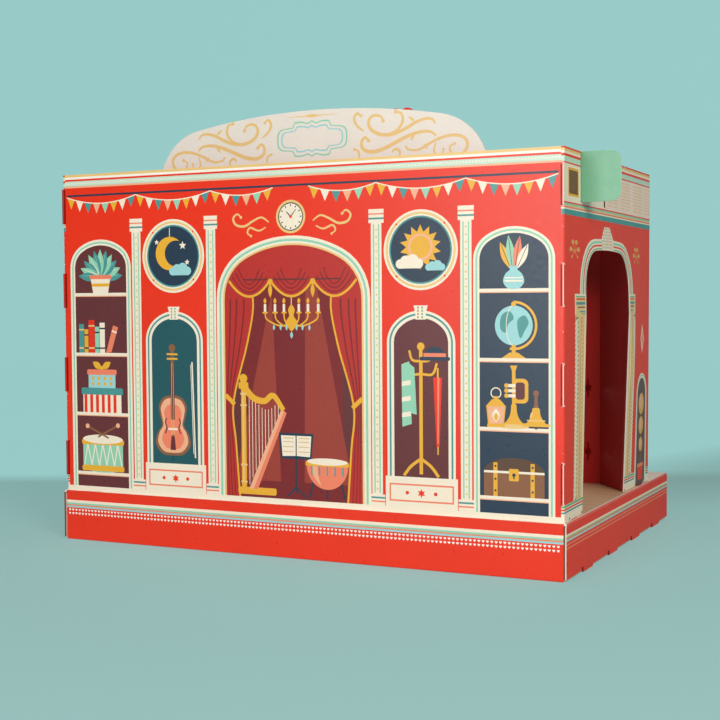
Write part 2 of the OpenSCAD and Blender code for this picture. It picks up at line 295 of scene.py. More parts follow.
def board(node, axis, side, front, back, inks, folds=(), bend=(2.0, 0.8), swell=None, edge=("cut", "cut"),
          ends=(), gloss=1.0):
    """Printed board in the place of a CAD node: the front print on the plane at the side's end of the axis,
    the back print on the opposite plane and the two edge inks on the outer and inner half of the cut edges.
    Along a fold, given as (0 or 1, value) in the board's plane, the front sinks on an ellipse, by
    depth (1 - sqrt(1 - (d / run)^2)), d being how far a point lies past the start of the bend, and the edge
    keeps the ink beside it. An end, given as (0 or 1, value, edge inks), has edge inks of its own. A swell is
    a function of the place in the board's plane that says how far the board stands out there. The front's
    gloss is 1 for new varnish and less where it is rubbed."""
    faces, level = cad_faces(node, axis, side)
    low, high = box_mm(node)
    flat = [a for a in range(3) if a != axis]
    thick = min(BOARD, high[axis] - low[axis])
    run, depth = bend
    lines = []
    for way, value in folds:
        inward = np.sign((low[flat[way]] + high[flat[way]]) / 2 - value)
        for share in (0.02, 0.1, 0.22, 0.4, 0.65, 1.0):
            a, b = np.zeros(2), np.zeros(2)
            a[way] = b[way] = value + inward * run * share
            a[1 - way], b[1 - way] = low[flat[1 - way]] - 1, high[flat[1 - way]] + 1
            lines.append((a, b))
    dots = np.zeros((0, 2))
    if swell:
        rows = [np.arange(low[a] + 3, high[a], 7.0) for a in flat]
        dots = np.stack(np.meshgrid(*rows), 2).reshape(-1, 2)
    uv, tri, front_top, back_top = cut_into_inks(faces, front, back, lines, dots)
    used, index = np.unique(tri, return_inverse=True)
    uv, tri = uv[used], index.reshape(-1, 3)
    n = len(uv)
    sink = np.zeros(n)
    for way, value in folds:
        past = np.clip(1 - np.abs(uv[:, way] - value) / run, 0, 1)
        sink = np.maximum(sink, depth * (1 - np.sqrt(1 - past**2)))
    out = side * swell(*uv.T) if swell else np.zeros(n)
    co = np.empty((2 * n, 3))
    co[:n, flat], co[n:, flat] = uv, uv
    co[:n, axis], co[n:, axis] = level - side * sink + out, level - side * thick + out
    faces_out = np.array([1, -1, 1])[axis] == side
    directed = np.concatenate([tri[:, [0, 1]], tri[:, [1, 2]], tri[:, [2, 0]]])
    owner = np.tile(np.arange(len(tri)), 3)
    key, back_key = directed @ [n, 1], directed[:, ::-1] @ [n, 1]
    rim = ~np.isin(key, back_key)
    a, b, owner = directed[rim, 0], directed[rim, 1], owner[rim]
    core, place = np.unique(np.concatenate([a, b]), return_inverse=True)
    am, bm = 2 * n + place[:len(a)], 2 * n + place[len(a):]
    co = np.concatenate([co, (co[core] + co[core + n]) / 2])
    walls = np.concatenate([np.stack(t, 1) for t in ((b, a, am), (b, am, bm), (bm, am, a + n), (bm, a + n, b + n))])
    mesh_faces = np.concatenate([tri, tri[:, ::-1] + n, walls])
    if not faces_out:
        mesh_faces = mesh_faces[:, ::-1]
    palette = [front.base] + [i for i, _ in front.areas]
    palette_back = [back.base] + [i for i, _ in back.areas]
    front_ink = (np.array([inks[i] for i in palette]) * [1, 1, 1, gloss])[front_top]
    back_ink = np.array([inks[i] for i in palette_back])[back_top]
    outer, inner = (np.tile(np.array(inks[i]), (len(a), 1)) for i in edge)
    for way, value, *own in (*folds, *ends):
        on = np.flatnonzero((np.abs(uv[a, way] - value) < 1e-2) & (np.abs(uv[b, way] - value) < 1e-2))
        outer[on] = inks[own[0][0]] if own else front_ink[owner[on]]
        inner[on] = inks[own[0][1]] if own else front_ink[owner[on]]
    colours = np.concatenate([front_ink, back_ink, outer, outer, inner, inner])
    return printed_mesh(node + "_print", co, mesh_faces, colours)


def wing(node, wall, side, inks):
    """Wing of the screen in the place of a CAD node: two sheets from the fold to the tip, s and v running from
    0 to 1 along and up, joined at their rims. The tip follows the swell of the side wall, by s squared, and the
    sheet towards the audience carries narrow printed pleats."""
    low, high = box_mm(node)
    fold_x, tip_x = (low[0], high[0]) if side > 0 else (high[0], low[0])
    fold_y, tip_y = high[1] - BOARD, low[1]
    slant = np.hypot(tip_x - fold_x, tip_y - fold_y) / abs(tip_x - fold_x)
    pleats = np.sort(np.concatenate([np.arange(7), np.arange(6) + 0.2])) / 6
    s, v = np.meshgrid(pleats, np.linspace(0, 1, 31), indexing="ij")
    z = low[2] + (high[2] - low[2]) * v
    x = fold_x + (tip_x - fold_x) * s + side * bulge(wall, tip_y, z) * s**2
    behind = np.stack([x, fold_y + (tip_y - fold_y) * s, z], 2).reshape(-1, 3)
    before = np.stack([x, high[1] + (tip_y + BOARD * slant - high[1]) * s, z], 2).reshape(-1, 3)
    index = np.arange(s.size).reshape(s.shape)
    quads = np.stack([index[:-1, :-1], index[1:, :-1], index[1:, 1:], index[:-1, 1:]], 2).reshape(-1, 4)
    rim = np.concatenate([index[:-1, 0], index[-1, :-1], index[:0:-1, -1], index[0, :0:-1]])
    on = np.roll(rim, -1)
    walls = np.stack([on, rim, rim + s.size, on + s.size], 1)
    quads = np.concatenate([quads, quads[:, ::-1] + s.size, walls])
    if side < 0:
        quads = quads[:, ::-1]
    faces = np.concatenate([quads[:, :3], quads[:, [0, 2, 3]]])
    sheet = (s.shape[0] - 1) * (s.shape[1] - 1)
    colours = np.tile(np.array(inks["deep_red"]), (len(quads), 1))
    colours[sheet:2 * sheet] = inks["drape"]
    colours[sheet:2 * sheet].reshape(len(pleats) - 1, -1, 4)[::2] = inks["wine"]
    return printed_mesh(node + "_print", np.concatenate([behind, before]), faces, np.tile(colours, (2, 1)))


def printed_mesh(name, co, faces, colours):
    """Object at the origin from points in millimetres, triangles and one ink a triangle, with its gloss."""
    mesh = bpy.data.meshes.new(name)
    mesh.from_pydata((co * MM).tolist(), [], faces.tolist())
    ink = mesh.attributes.new("ink", "FLOAT_COLOR", "CORNER")
    ink.data.foreach_set("color", np.repeat(colours, 3, axis=0).astype(np.float32).ravel())
    mesh.update()
    piece = bpy.data.objects.new(name, mesh)
    bpy.context.scene.collection.objects.link(piece)
    return piece


def dress(piece, node, body):
    """Gives a printed board its finish and its body, and hides the CAD node that it stands for."""
    piece.data.materials.append(shared("varnished_print", varnished_print))
    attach(piece, body)
    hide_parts(node)


def add_board(node, axis, side, front, back, body="theatre", slot="printed_board", **how):
    """Prints a board, as board() says, and dresses it."""
    dress(board(node, axis, side, front, back, ink_table(), **how), node, body)


def dress_cad(nodes, material):
    """Gives CAD nodes whose shape stays a finish."""
    for name in nodes:
        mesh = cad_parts[name].data
        mesh.materials.clear()
        mesh.materials.append(material)


# Finishes


def shared(name, make):
    """A finish, made the first time it is asked for."""
    return bpy.data.materials.get(name) or make()


def add_node(tree, kind, sockets=None, **settings):
    """Shader node with its settings. Each socket gets a number or a colour, or is linked to an output."""
    node = tree.nodes.new("ShaderNode" + kind)
    for name, value in settings.items():
        setattr(node, name, value)
    for socket, value in (sockets or {}).items():
        if isinstance(value, bpy.types.NodeSocket):
            tree.links.new(value, node.inputs[socket])
        else:
            node.inputs[socket].default_value = value
    return node


def new_material(name):
    """Empty node material, with its tree and its shader."""
    material = bpy.data.materials.new(name)
    material.use_nodes = True
    tree = material.node_tree
    tree.nodes.clear()
    shader = add_node(tree, "BsdfPrincipled")
    add_node(tree, "OutputMaterial", {"Surface": shader.outputs["BSDF"]})
    return material, tree, shader


def noise(tree, coords, scale, detail=3.0, roughness=0.55):
    """Noise on the object's own coordinates; the scale is in repeats a metre."""
    sockets = {"Vector": coords.outputs["Object"], "Scale": scale, "Detail": detail, "Roughness": roughness}
    return add_node(tree, "TexNoise", sockets).outputs["Fac"]


def spread(tree, value, low, high, start=0.3, stop=0.7):
    """Value mapped from start..stop to low..high."""
    sockets = {"Value": value, "From Min": start, "From Max": stop, "To Min": low, "To Max": high}
    return add_node(tree, "MapRange", sockets).outputs["Result"]


def maths(tree, how, first, *rest):
    """Sum, product or the like of several values in turn, each a socket or a number."""
    for value in rest:
        first = add_node(tree, "Math", {0: first, 1: value}, operation=how).outputs["Value"]
    return first


def times(tree, colour, factor):
    """Colour multiplied by a grey factor."""
    return add_node(tree, "VectorMath", {0: colour, "Scale": factor}, operation="SCALE").outputs["Vector"]


def between(tree, factor, tone, other):
    """Colour between two tones."""
    sockets = {"Factor": factor, "A": (*tone, 1), "B": (*other, 1)}
    return add_node(tree, "Mix", sockets, data_type="RGBA").outputs["Result"]


def coat(tree, shader, colour, roughness, mirror):
    """Links a colour and a roughness to the shader, and sets how strongly it mirrors."""
    tree.links.new(colour, shader.inputs["Base Color"])
    tree.links.new(roughness, shader.inputs["Roughness"])
    shader.inputs["Specular IOR Level"].default_value = mirror


def relief(tree, shader, *layers):
    """Stacks bump layers, each a height with its strength and depth in metres, on the shader's normal."""
    below = {}
    for height, strength, depth in layers:
        sockets = {"Strength": strength, "Distance": depth, "Height": height, **below}
        below = {"Normal": add_node(tree, "Bump", sockets).outputs["Normal"]}
    tree.links.new(below["Normal"], shader.inputs["Normal"])


def varnished_print():
    """Offset print under a satin varnish: the ink of each area, slightly mottled, on fine board grain
    with the long soft waves of a thin board. Cut edges and the inner side have no varnish."""
    material, tree, shader = new_material("varnished_print")
    coords = add_node(tree, "TexCoord")
    ink = add_node(tree, "Attribute", attribute_name="ink").outputs
    mottle = spread(tree, noise(tree, coords, 14, 2.0), 0.97, 1.03)
    specks = spread(tree, noise(tree, coords, 1500, 2.0), 0.955, 1.035)
    satin = spread(tree, noise(tree, coords, 320), 0.27, 0.36)
    matt = spread(tree, ink["Alpha"], 0.4, 0.0, 0.0, 1.0)
    colour = times(tree, times(tree, ink["Color"], mottle), specks)
    coat(tree, shader, colour, maths(tree, "ADD", satin, matt), 0.5)
    waves, grain = noise(tree, coords, 7, 1.0), noise(tree, coords, 1900, 2.0)
    relief(tree, shader, (waves, 0.10, 0.004), (grain, 0.10, 0.00012))
    return material


def fleck_board(name, colour, dark, rough=0.82):
    """Unprinted board: pressed fibres, a few darker flecks and a matt grain."""
    material, tree, shader = new_material(name)
    coords = add_node(tree, "TexCoord")
    flecks = spread(tree, noise(tree, coords, 700, 5.0, 0.7), 0.0, 1.0, 0.52, 0.78)
    mottle = spread(tree, noise(tree, coords, 22, 2.0), 0.93, 1.06)
    roughness = spread(tree, noise(tree, coords, 240), rough - 0.06, rough + 0.06)
    coat(tree, shader, times(tree, between(tree, flecks, colour, dark), mottle), roughness, 0.25)
    relief(tree, shader, (noise(tree, coords, 1200, 3.0), 0.2, 0.0002))
    return material


# Ornament


def scroll(p, points, w, ball=None):
    """Gold scroll: a curve that swells in the middle, with a ball on the end that curls."""
    path = curve(points, 4)
    p.fill("gold", taper(path, 1.25 * w))
    if ball:
        p.fill("gold", oval(path[-1][0], path[-1][1], ball))


def scrollwork(p):
    """One half of a header's scrolls, to the left of its middle."""
    scroll(p, [(-102, 322), (-100, 325), (-95, 326), (-87, 324), (-79, 320), (-71, 317), (-61, 316), (-53, 318.5),
               (-48.5, 323), (-48.5, 328), (-52.5, 331), (-58, 330), (-60, 326.5)], 2.2, 1.5)
    scroll(p, [(-64, 316.4), (-71.5, 319), (-76, 325), (-75, 331), (-70.5, 332.5)], 1.8, 1.5)
    scroll(p, [(-44, 320), (-38.5, 324), (-36, 329.5), (-38.5, 333.5), (-41.5, 331.5)], 1.8, 1.3)
    scroll(p, [(-103, 313), (-98, 316.3), (-89, 316.3), (-79, 313.6), (-69, 309.4), (-59.5, 305.5), (-50, 304),
               (-43.5, 306.5), (-42, 311.5), (-45, 315), (-48, 312.5)], 2.4, 1.5)
    scroll(p, [(-78, 307), (-81, 304), (-89, 303.6), (-97, 307.4), (-107, 311.4), (-117, 312.6), (-124.5, 310.5),
               (-127.5, 305.7), (-125.5, 300.6), (-120.5, 298), (-115, 299.6), (-113.6, 304),
               (-117.2, 306.4)], 1.9, 1.3)
    scroll(p, [(-102.5, 308), (-101, 302), (-103.5, 298.4), (-107.5, 299.2), (-108.6, 303)], 1.5, 1.0)
    scroll(p, [(-72, 297.5), (-73.8, 302), (-71.6, 304.8), (-69, 304.6), (-67.3, 302.8)], 1.7)
    scroll(p, [(-40, 300), (-39.4, 305), (-36, 306.6)], 1.5, 1.2)
    p.fill("gold", leaf(-86, 324.5, -80.5, 328.5, 2.2), leaf(-93, 307.8, -96, 303.5, 2.0),
           leaf(-86, 315, -82, 310.5, 2.0))


def cartouche(p, x, y, sx, sy, *rings):
    """Nested label outline: each ring is given by how far it lies inside the first one, and its ink."""
    half = curve([(1.0, 0), (0.985, 0.34), (0.9, 0.56), (0.75, 0.62)], 3)[:-1].tolist()
    half += [(0.72, 0.62), (0.55, 0.66), (0.5, 0.92)]
    half += curve([(0.48, 0.94), (0.3, 0.96), (0.12, 0.86), (0.0, 1.0)], 3).tolist()
    q = np.array(half)
    ring = np.concatenate([q, q[-2::-1] * [-1, 1], q[1:] * [-1, -1], q[-2:0:-1] * [1, -1]])
    for inset, ink in rings:
        p.fill(ink, ring * [sx - inset, sy - inset] + [x, y])


def hearts(p, x0, x1, y):
    """Row of small hearts."""
    pitch, size = 3.2, 2.2
    count = int((x1 - x0) / pitch)
    for x in x0 + (x1 - x0 - (count - 1) * pitch) / 2 + pitch * np.arange(count):
        p.fill("white", heart(x, y, size))


def slanted(p, ink, x0, x1, low, high, pitch, w):
    """Row of slanted dashes between two heights."""
    lean = high - low
    for x in np.arange(x0, x1 - lean - w, pitch):
        p.fill(ink, poly((x, low), (x + w, low), (x + w + lean, high), (x + lean, high)))


def fleuron(p):
    """Small ochre sprig: four buds above two crossed stems, 24 wide."""
    for s in (-1, 1):
        p.fill("ochre", oval(s * 3.9, 4.9, 3.0, 1.7), oval(s * 8.3, 0, 3.3, 1.7), oval(s * 6.3, -5.2, 1.7, 0.9))
        p.fill("ochre", ribbon(curve([(s * 6.3, -5.2), (0, -1.4), (-s * 7.0, 0)], 4), 0.6))
        p.fill("ochre", ribbon(curve([(0, -1.4), (s * 2.4, 1.6), (s * 3.6, 4.4)], 3), 0.6))


def keystone(p, x, low, high, w0, w1):
    """Block over an arch, upright below and tapered above, with columns of small blocks."""
    knee = low + 0.46 * (high - low)
    outline = poly((x - w0 / 2, low), (x + w0 / 2, low), (x + w0 / 2, knee), (x + w1 / 2, high), (x - w1 / 2, high),
                   (x - w0 / 2, knee))
    p.fill("cream", outline)
    columns, rows = np.arange(x - w0 / 2 + 2, x + w0 / 2 - 1, 3.2), np.arange(low + 1.6, high - 1, 2.3)
    middles = np.stack(np.meshgrid(columns, rows), 2).reshape(-1, 2)
    for i in inside(middles, (outline - [x, low]) * [0.94, 0.95] + [x, low]):
        a, b = middles[i]
        p.fill(("tan", "green", "salmon")[i % len(columns) % 3], rect(a - 0.6, b - 0.75, a + 0.6, b + 0.75))


def across(x0, x1, inner):
    """Place across a strip by its share of the width, from the outer side to the inner one. The inner side is +1
    where it lies towards larger values."""
    w = x1 - x0
    return (lambda share: x0 + share * w) if inner > 0 else (lambda share: x1 - share * w)


def rope_pilaster(p, x0, x1, low, high, inner):
    """Pilaster beside an arch: a rope of slanted beads on its outer third, then upright lines and a row of dots."""
    at = across(x0, x1, inner)
    p.fill("straw", rect(x0, low, x1, high))
    p.fill("tan", rect(at(0.03), low, at(0.30), high))
    for y in np.arange(low + 0.5, high - 5, 3.3):
        p.fill("cream", leaf(at(-0.03), y, at(0.31), y + 4.2, 3.0))
    p.fill("tan", rect(at(0.53), low, at(0.58), high))
    p.fill("salmon", *[rect(at(0.62), y, at(0.69), y + 1.2) for y in np.arange(low + 1, high - 1, 3.0)])
    p.fill("sand", rect(at(0.75), low, at(0.82), high))
    p.fill("cream", rect(at(0.87), low, at(1.0), high))


def capital(p, x0, x1, top, inner):
    """Capital: short level lines that step in towards the arch."""
    at = across(x0, x1, inner)
    p.fill("cream", rect(at(-0.04), top - 1.6, at(1.0), top))
    p.fill("straw", poly((at(-0.04), top - 1.6), (at(1.0), top - 1.6), (at(1.0), top - 16), (at(0.02), top - 16)))
    p.fill("cream", rect(at(-0.02), top - 14.5, at(0.06), top - 1.6), rect(at(0.92), top - 16, at(1.0), top - 1.6))
    for ink, drop, height, step in (("green", 1.5, 0.9, 0.08), ("red", 3.1, 1.1, 0.12), ("teal", 5.7, 1.9, 0.10),
                                    ("rust", 8.9, 1.0, 0.22), ("teal", 11.9, 1.0, 0.42),
                                    ("green", 13.6, 0.7, 0.55)):
        p.fill(ink, rect(at(step), top - drop - height, at(0.91), top - drop))


def archivolt(p, x, y, w, side, rise, r, *bands, crown=1.0):
    """Bands around an arch, from the outside in, each given by its ink and width. Over the crown they are
    narrower by that share."""
    total = sum(width for _, width in bands)
    for ink, width in bands:
        p.fill(ink, arch(x, y, w + 2 * total, side, rise + total * crown, r + total * crown))
        total -= width


def nested(p, outline, *rings):
    """One outline printed several times, each ring given by its ink and how far it grows outwards."""
    for ink, grow in rings:
        p.fill(ink, outline(grow))


def entablature(p, x0, x1, top, frieze):
    """Moulded lines above and below a cream frieze of that height."""
    p.bands(x0, x1, top, ("red", 1.2), ("gold", 1.7), ("cream", 1.7), ("red", 1.7), ("dew", 3.7), ("red", 1.0),
            ("cream", frieze), ("red", 1.0), ("mint", 1.3), ("straw", 0.9), ("salmon", 1.1), ("cream", 0.9),
            ("teal", 3.7))


def plinth(p, x0, x1, foot):
    """Cream plinth with three coloured lines."""
    p.bands(x0, x1, foot + PLINTH, ("cream", 0.3), ("green", 1.5), ("cream", 0.7), ("red", 1.2), ("cream", 0.8),
            ("teal", 1.2), ("cream", 6.5))


def chips(p, x0, y0, x1, y1, count, seed):
    """Small worn spots scattered along a line, each a rough five-cornered outline."""
    rng = np.random.default_rng(seed)
    turn = np.arange(5) * 2 * np.pi / 5
    for share in rng.uniform(0.02, 0.98, count):
        size = rng.uniform(0.2, 0.6) * rng.uniform(0.5, 1.0, 5)
        place = [x0 + (x1 - x0) * share, y0 + (y1 - y0) * share]
        spot = np.stack([size * np.cos(turn), size * np.sin(turn)], 1) * ([1, 1.8] if x0 == x1 else [1.8, 1])
        p.fill("worn", spot + place)


def brick_dashes(p, x0, x1, low, high, column, rows):
    """Frieze of tan dashes, two to a column, every other row moved along."""
    pitch = (high - low) / rows
    for start in np.arange(x0, x1 - column * 0.5, column):
        for i in range(rows):
            a = start + 3.5 + (2.5 if i % 2 else 0)
            b = min(a + column - 9, x1)
            foot, top = low + i * pitch + 0.7, low + i * pitch + pitch - 0.7
            p.fill("biscuit", rect(a, foot, (a + b) / 2 - 0.8, top), rect((a + b) / 2 + 0.8, foot, b, top))


def grille(p, x0, y0, x1, y1):
    """Vent: a gold frame with slanting dark slats."""
    p.fill("mustard", rect(x0, y0, x1, y1))
    p.fill("brown", rect(x0 + 1.6, y0 + 1.6, x1 - 1.6, y1 - 1.6))
    for y in np.arange(y0 + 2.6, y1 - 2.6, 1.55):
        p.fill("umber", poly((x0 + 1.9, y), (x1 - 1.9, y - 0.5), (x1 - 1.9, y + 0.2), (x0 + 1.9, y + 0.7)))


# Props of the painted store


def drum(p):
    """Side drum with its ropes and sticks."""
    p.fill("mint", rect(-17, 3, 17, 21), oval(0, 3, 17, 3.4))
    p.fill("cream", *[ribbon([(x, 4.5), (x + 3, 19.5)], 0.9) for x in np.arange(-16, 12, 6.4)])
    p.fill("cream", *[ribbon([(x + 3, 19.5), (x + 6.4, 4.5)], 0.9) for x in np.arange(-16, 10, 6.4)])
    p.fill("mustard", soft_rect(-18, 0.5, 18, 4.5, 1.5), soft_rect(-18, 19, 18, 23, 1.5))
    p.fill("cream", oval(0, 23, 17, 3.2))
    p.fill("brown", ribbon([(-13, 32), (5, 24)], 1.3), ribbon([(13, 33), (-4, 24.5)], 1.3))
    p.fill("peach", oval(-13, 32, 1.7), oval(13, 33, 1.7))


def hat_boxes(p):
    """Two striped hat boxes and a bow."""
    p.fill("cream", rect(-17, 0, 17, 15))
    p.fill("red", *[rect(x, 0, x + 2.6, 15) for x in np.arange(-16, 15, 5.2)])
    p.fill("teal", soft_rect(-18.5, 13, 18.5, 18, 1.2))
    p.fill("blue", rect(-12, 18, 12, 29))
    p.fill("mustard", *[oval(x, y, 1.3) for x in (-8, -2.7, 2.7, 8) for y in (21, 25)])
    p.fill("salmon", soft_rect(-13.2, 27.5, 13.2, 31.5, 1.2))
    p.fill("mustard", leaf(0, 32, -8, 37, 5), leaf(0, 32, 8, 37, 5), oval(0, 32.5, 1.6))


def books(p):
    """Row of books, the last one leaning."""
    x = -18.0
    for w, h, ink in ((5, 22, "teal"), (4, 18, "mustard"), (6, 25, "red"), (4.4, 20, "mint"), (5.2, 23, "cream")):
        end = x + w - 0.4
        p.fill(ink, rect(x, 0, end, h))
        p.fill("gold" if ink in ("teal", "red") else "navy", rect(x, h - 5, end, h - 3.8), rect(x, 3, end, 4.2))
        x += w
    p.fill("salmon", poly((x + 0.5, 0), (x + 5.5, 0.4), (x + 12, 19.5), (x + 7.4, 21)))
    p.fill("cream", poly((x + 5.9, 16.2), (x + 10.5, 14.9), (x + 10.9, 16), (x + 6.3, 17.3)))


def lantern(p):
    """Hand lantern with a flame."""
    p.fill("mustard", soft_rect(-9, 0, 9, 3.5, 1))
    p.fill("peach", poly((-7, 3.5), (7, 3.5), (9, 20), (-9, 20)))
    p.fill("cream", leaf(0, 5, 0, 18, 8))
    p.fill("mustard", leaf(0, 6, 0, 14, 4.6))
    p.fill("mustard", ribbon([(-7.5, 3.5), (-9.3, 20)], 1.3), ribbon([(7.5, 3.5), (9.3, 20)], 1.3))
    p.fill("mustard", poly((-10.5, 20), (10.5, 20), (4, 27), (-4, 27)), rect(-2.4, 27, 2.4, 30))
    p.fill("cream", ribbon(oval(0, 33, 5, 5, -60, 240), 1.1))


def fern(p):
    """Potted fern."""
    for k, a in enumerate(np.linspace(12, 168, 11)):
        c, s = np.cos(np.radians(a)), np.sin(np.radians(a))
        tip = (24 * c, 15 + 23 * s - 5 * c * c)
        rib = [(3 * c, 15 + 2 * s), (tip[0] * 0.8, 15 + (tip[1] - 15) * 0.8)]
        p.fill("mint" if k % 2 else "teal", leaf(1.5 * c, 13, tip[0], tip[1], 7.5))
        p.fill("cream" if k % 2 else "mint", ribbon(rib, 0.6, 0.3))
    p.fill("cream", poly((-8, 0), (8, 0), (10.5, 13), (-10.5, 13)))
    p.fill("salmon", rect(-11.5, 12, 11.5, 15.5))
    p.fill("mustard", poly((-9.2, 5.5), (9.2, 5.5), (9.7, 8.2), (-9.7, 8.2)))


def chest(p):
    """Travelling chest with a domed lid, straps and a lock."""
    p.fill("brown", rect(-22, 0, 22, 17))
    p.fill("umber", oval(0, 17, 22, 10, 0, 180))
    p.fill("cream", rect(-22, 16.2, 22, 17.8))
    for x in (-15, 12):
        p.fill("mustard", rect(x, 0, x + 3, 16.2), poly((x, 17.8), (x + 3, 17.8), (x + 3, 23.5), (x, 23.5)))
        p.fill("navy", oval(x + 1.5, 4, 0.8), oval(x + 1.5, 12, 0.8), oval(x + 1.5, 21, 0.8))
    p.fill("mustard", soft_rect(-3.6, 11, 3.6, 19.5, 1))
    p.fill("navy", oval(0, 15.2, 1.3), rect(-0.5, 12.4, 0.5, 15))


def trumpet(p):
    """Trumpet standing on its bell."""
    t = np.linspace(0, 1, 12)
    bell = np.stack([2 + 9 * (1 - t) ** 3, 16 * t], 1)
    p.fill("mustard", mirrored(bell))
    p.fill("gold", oval(0, 0.8, 11, 1.6))
    p.fill("mustard", ribbon([(0, 14), (0, 40)], 2.6), soft_rect(-1.3, 17, 10.5, 34, 3.5))
    p.fill("maroon", soft_rect(1.3, 19.6, 8, 31.4, 2))
    for y in (21, 24.5, 28):
        p.fill("cream", rect(-5, y, 1.3, y + 2.2))
        p.fill("mustard", oval(-5.4, y + 1.1, 1.6))
    p.fill("mustard", poly((-2.6, 43), (2.6, 43), (1.2, 39), (-1.2, 39)))


def hand_bell(p):
    """Hand bell with a turned handle."""
    t = np.linspace(0, 1, 12)
    half = np.stack([4.5 + 10 * (1 - t) ** 2.4, 3 + 18 * t], 1)
    p.fill("umber", oval(0, 2.2, 3.2))
    p.fill("mustard", mirrored(half), soft_rect(-16, 2, 16, 5.4, 1.5), oval(0, 21, 4.5, 2.4))
    p.fill("gold", rect(-10.5, 8, 10.5, 9.4), leaf(-7, 10, -4, 19.5, 2.4))
    p.fill("brown", soft_rect(-2, 23, 2, 38, 1.5), oval(0, 39, 3.4), oval(0, 25, 3, 1.4))


def globe(p):
    """Globe on a stand."""
    p.fill("mustard", poly((-9, 0), (9, 0), (3, 4), (-3, 4)), rect(-1.4, 3, 1.4, 9))
    p.fill("mustard", ribbon(oval(0, 23, 16.5, 16.5, -100, 90), 1.8))
    p.fill("blue", oval(0, 23, 14))
    p.fill("teal", curve([(-9, 30), (-3, 33), (0, 28), (-4, 24), (-6, 18), (-10, 21)], 4, True),
           curve([(3, 27), (8, 30), (11, 25), (8, 19), (5, 14), (3, 20)], 4, True))
    p.fill("cream", ribbon(oval(0, 23, 5.5, 14, 95, 265), 0.5))
    p.fill("mustard", oval(0, 38, 1.8), oval(0, 8, 1.6))


def feathers(p):
    """Vase of long feathers."""
    for x, y, ink in ((-13, 42, "mustard"), (-5, 48, "mint"), (6, 47, "salmon"), (14, 40, "cream")):
        p.fill(ink, leaf(x * 0.2, 17, x, y, 8))
        p.fill("maroon", ribbon([(x * 0.2, 17), (x * 0.92, 17 + (y - 17) * 0.92)], 0.6))
    p.fill("blue", curve([(-5, 0), (5, 0), (10, 6), (8, 13), (3.5, 17), (4.5, 20), (-4.5, 20), (-3.5, 17), (-8, 13),
                          (-10, 6)], 4, True))
    p.fill("cream", rect(-8.6, 6, 8.6, 7.6), rect(-8.6, 9, 8.6, 10.2))


def cello(p):
    """Cello on its pin, with the bow beside it."""
    half = curve([(0, 4), (9, 5), (15, 12), (13.5, 20), (9.5, 26), (11, 33), (12, 40), (8, 46), (1.6, 48)], 4)
    body = mirrored(half)
    p.fill("navy", ribbon([(0, 0), (0, 5)], 1.0))
    p.fill("brown", body)
    p.fill("peach", (body - [0, 26]) * [0.86, 0.91] + [0, 26])
    p.fill("salmon", (body - [0, 26]) * [0.62, 0.74] + [0, 25])
    for s in (-1, 1):
        p.fill("maroon", ribbon(curve([(s * 6.6, 20), (s * 5.2, 24), (s * 6.4, 28), (s * 5.4, 31)], 3), 1.0))
    p.fill("maroon", poly((-2.4, 8), (2.4, 8), (1.3, 19), (-1.3, 19)), rect(-1.7, 30, 1.7, 72))
    p.fill("cream", rect(-4, 22.5, 4, 24))
    p.fill("gold", *[ribbon([(x, 18), (x * 0.7, 74)], 0.35) for x in (-0.9, 0.9)])
    p.fill("brown", rect(-1.3, 71, 1.3, 80), oval(0, 82, 2.8))
    p.fill("mustard", *[rect(-4.6, y, 4.6, y + 1.3) for y in (73.5, 76.8)])
    p.fill("cream", ribbon([(19, 3), (17, 72)], 1.1), ribbon([(17.6, 6), (15.8, 70)], 0.5))


def coat_stand(p):
    """Stand with a scarf, a bowler and an umbrella."""
    p.fill("mustard", rect(-1.2, 2, 1.2, 82), oval(0, 83.5, 2.6))
    for s in (-1, 1):
        p.fill("mustard", ribbon(curve([(0, 12), (s * 7, 7), (s * 12, 0.8)], 4), 2.0),
               ribbon(curve([(0, 66), (s * 8, 66), (s * 11, 73)], 4), 1.6),
               ribbon(curve([(0, 74), (s * 6, 75), (s * 8, 81)], 4), 1.6))
    p.fill("mint", poly((-13.5, 72), (-8, 74), (-6.5, 34), (-13, 32)),
           poly((-8.5, 73), (-4.5, 70), (-3, 40), (-7.5, 41)))
    p.fill("cream", *[poly((-13.3, y), (-7.2, y + 1), (-7.1, y + 4), (-13.2, y + 3)) for y in (38, 48, 58)])
    p.fill("navy", oval(9.5, 76, 8, 7.5, 0, 180), soft_rect(-1, 74.6, 20, 77, 1.1))
    p.fill("salmon", rect(1.8, 77, 17.2, 79.4))
    p.fill("red", poly((8.5, 64), (14.5, 64), (12.6, 20), (10.6, 20)))
    p.fill("salmon", poly((11.2, 64), (12.8, 64), (12, 22), (11.2, 22)))
    p.fill("mustard", ribbon([(11.6, 64), (11.6, 70)], 1.2), ribbon([(11.6, 20), (11.6, 15)], 0.9))


def harp(p):
    """Concert harp: column, curved neck, sounding board and strings."""
    p.fill("mustard", soft_rect(-19, 0, 12, 5, 1.5))
    neck = curve([(-14, 76), (-6, 68), (3, 66), (10, 70), (18, 60)], 5)
    p.fill("cream", *[ribbon([(x, 78 - 12 * np.sin((x + 14) / 12) ** 2 - 6), (x, 6 + (x + 10) * 1.93)], 0.45)
                      for x in np.arange(-9.5, 14, 2.6)])
    p.fill("peach", poly((-10, 4), (-3, 4), (20.5, 58), (16.5, 61)))
    p.fill("salmon", poly((-6.5, 4), (-3, 4), (20.5, 58), (18.5, 59.5)))
    p.fill("mustard", ribbon(neck, 5, 3.6), rect(-16, 4, -12, 76), soft_rect(-18, 74, -10, 79, 1.5),
           oval(-14, 81.5, 3.2))
    p.fill("gold", rect(-15, 8, -13.8, 72), *[rect(-16.6, y, -11.4, y + 1.3) for y in (8, 20, 62, 70)])


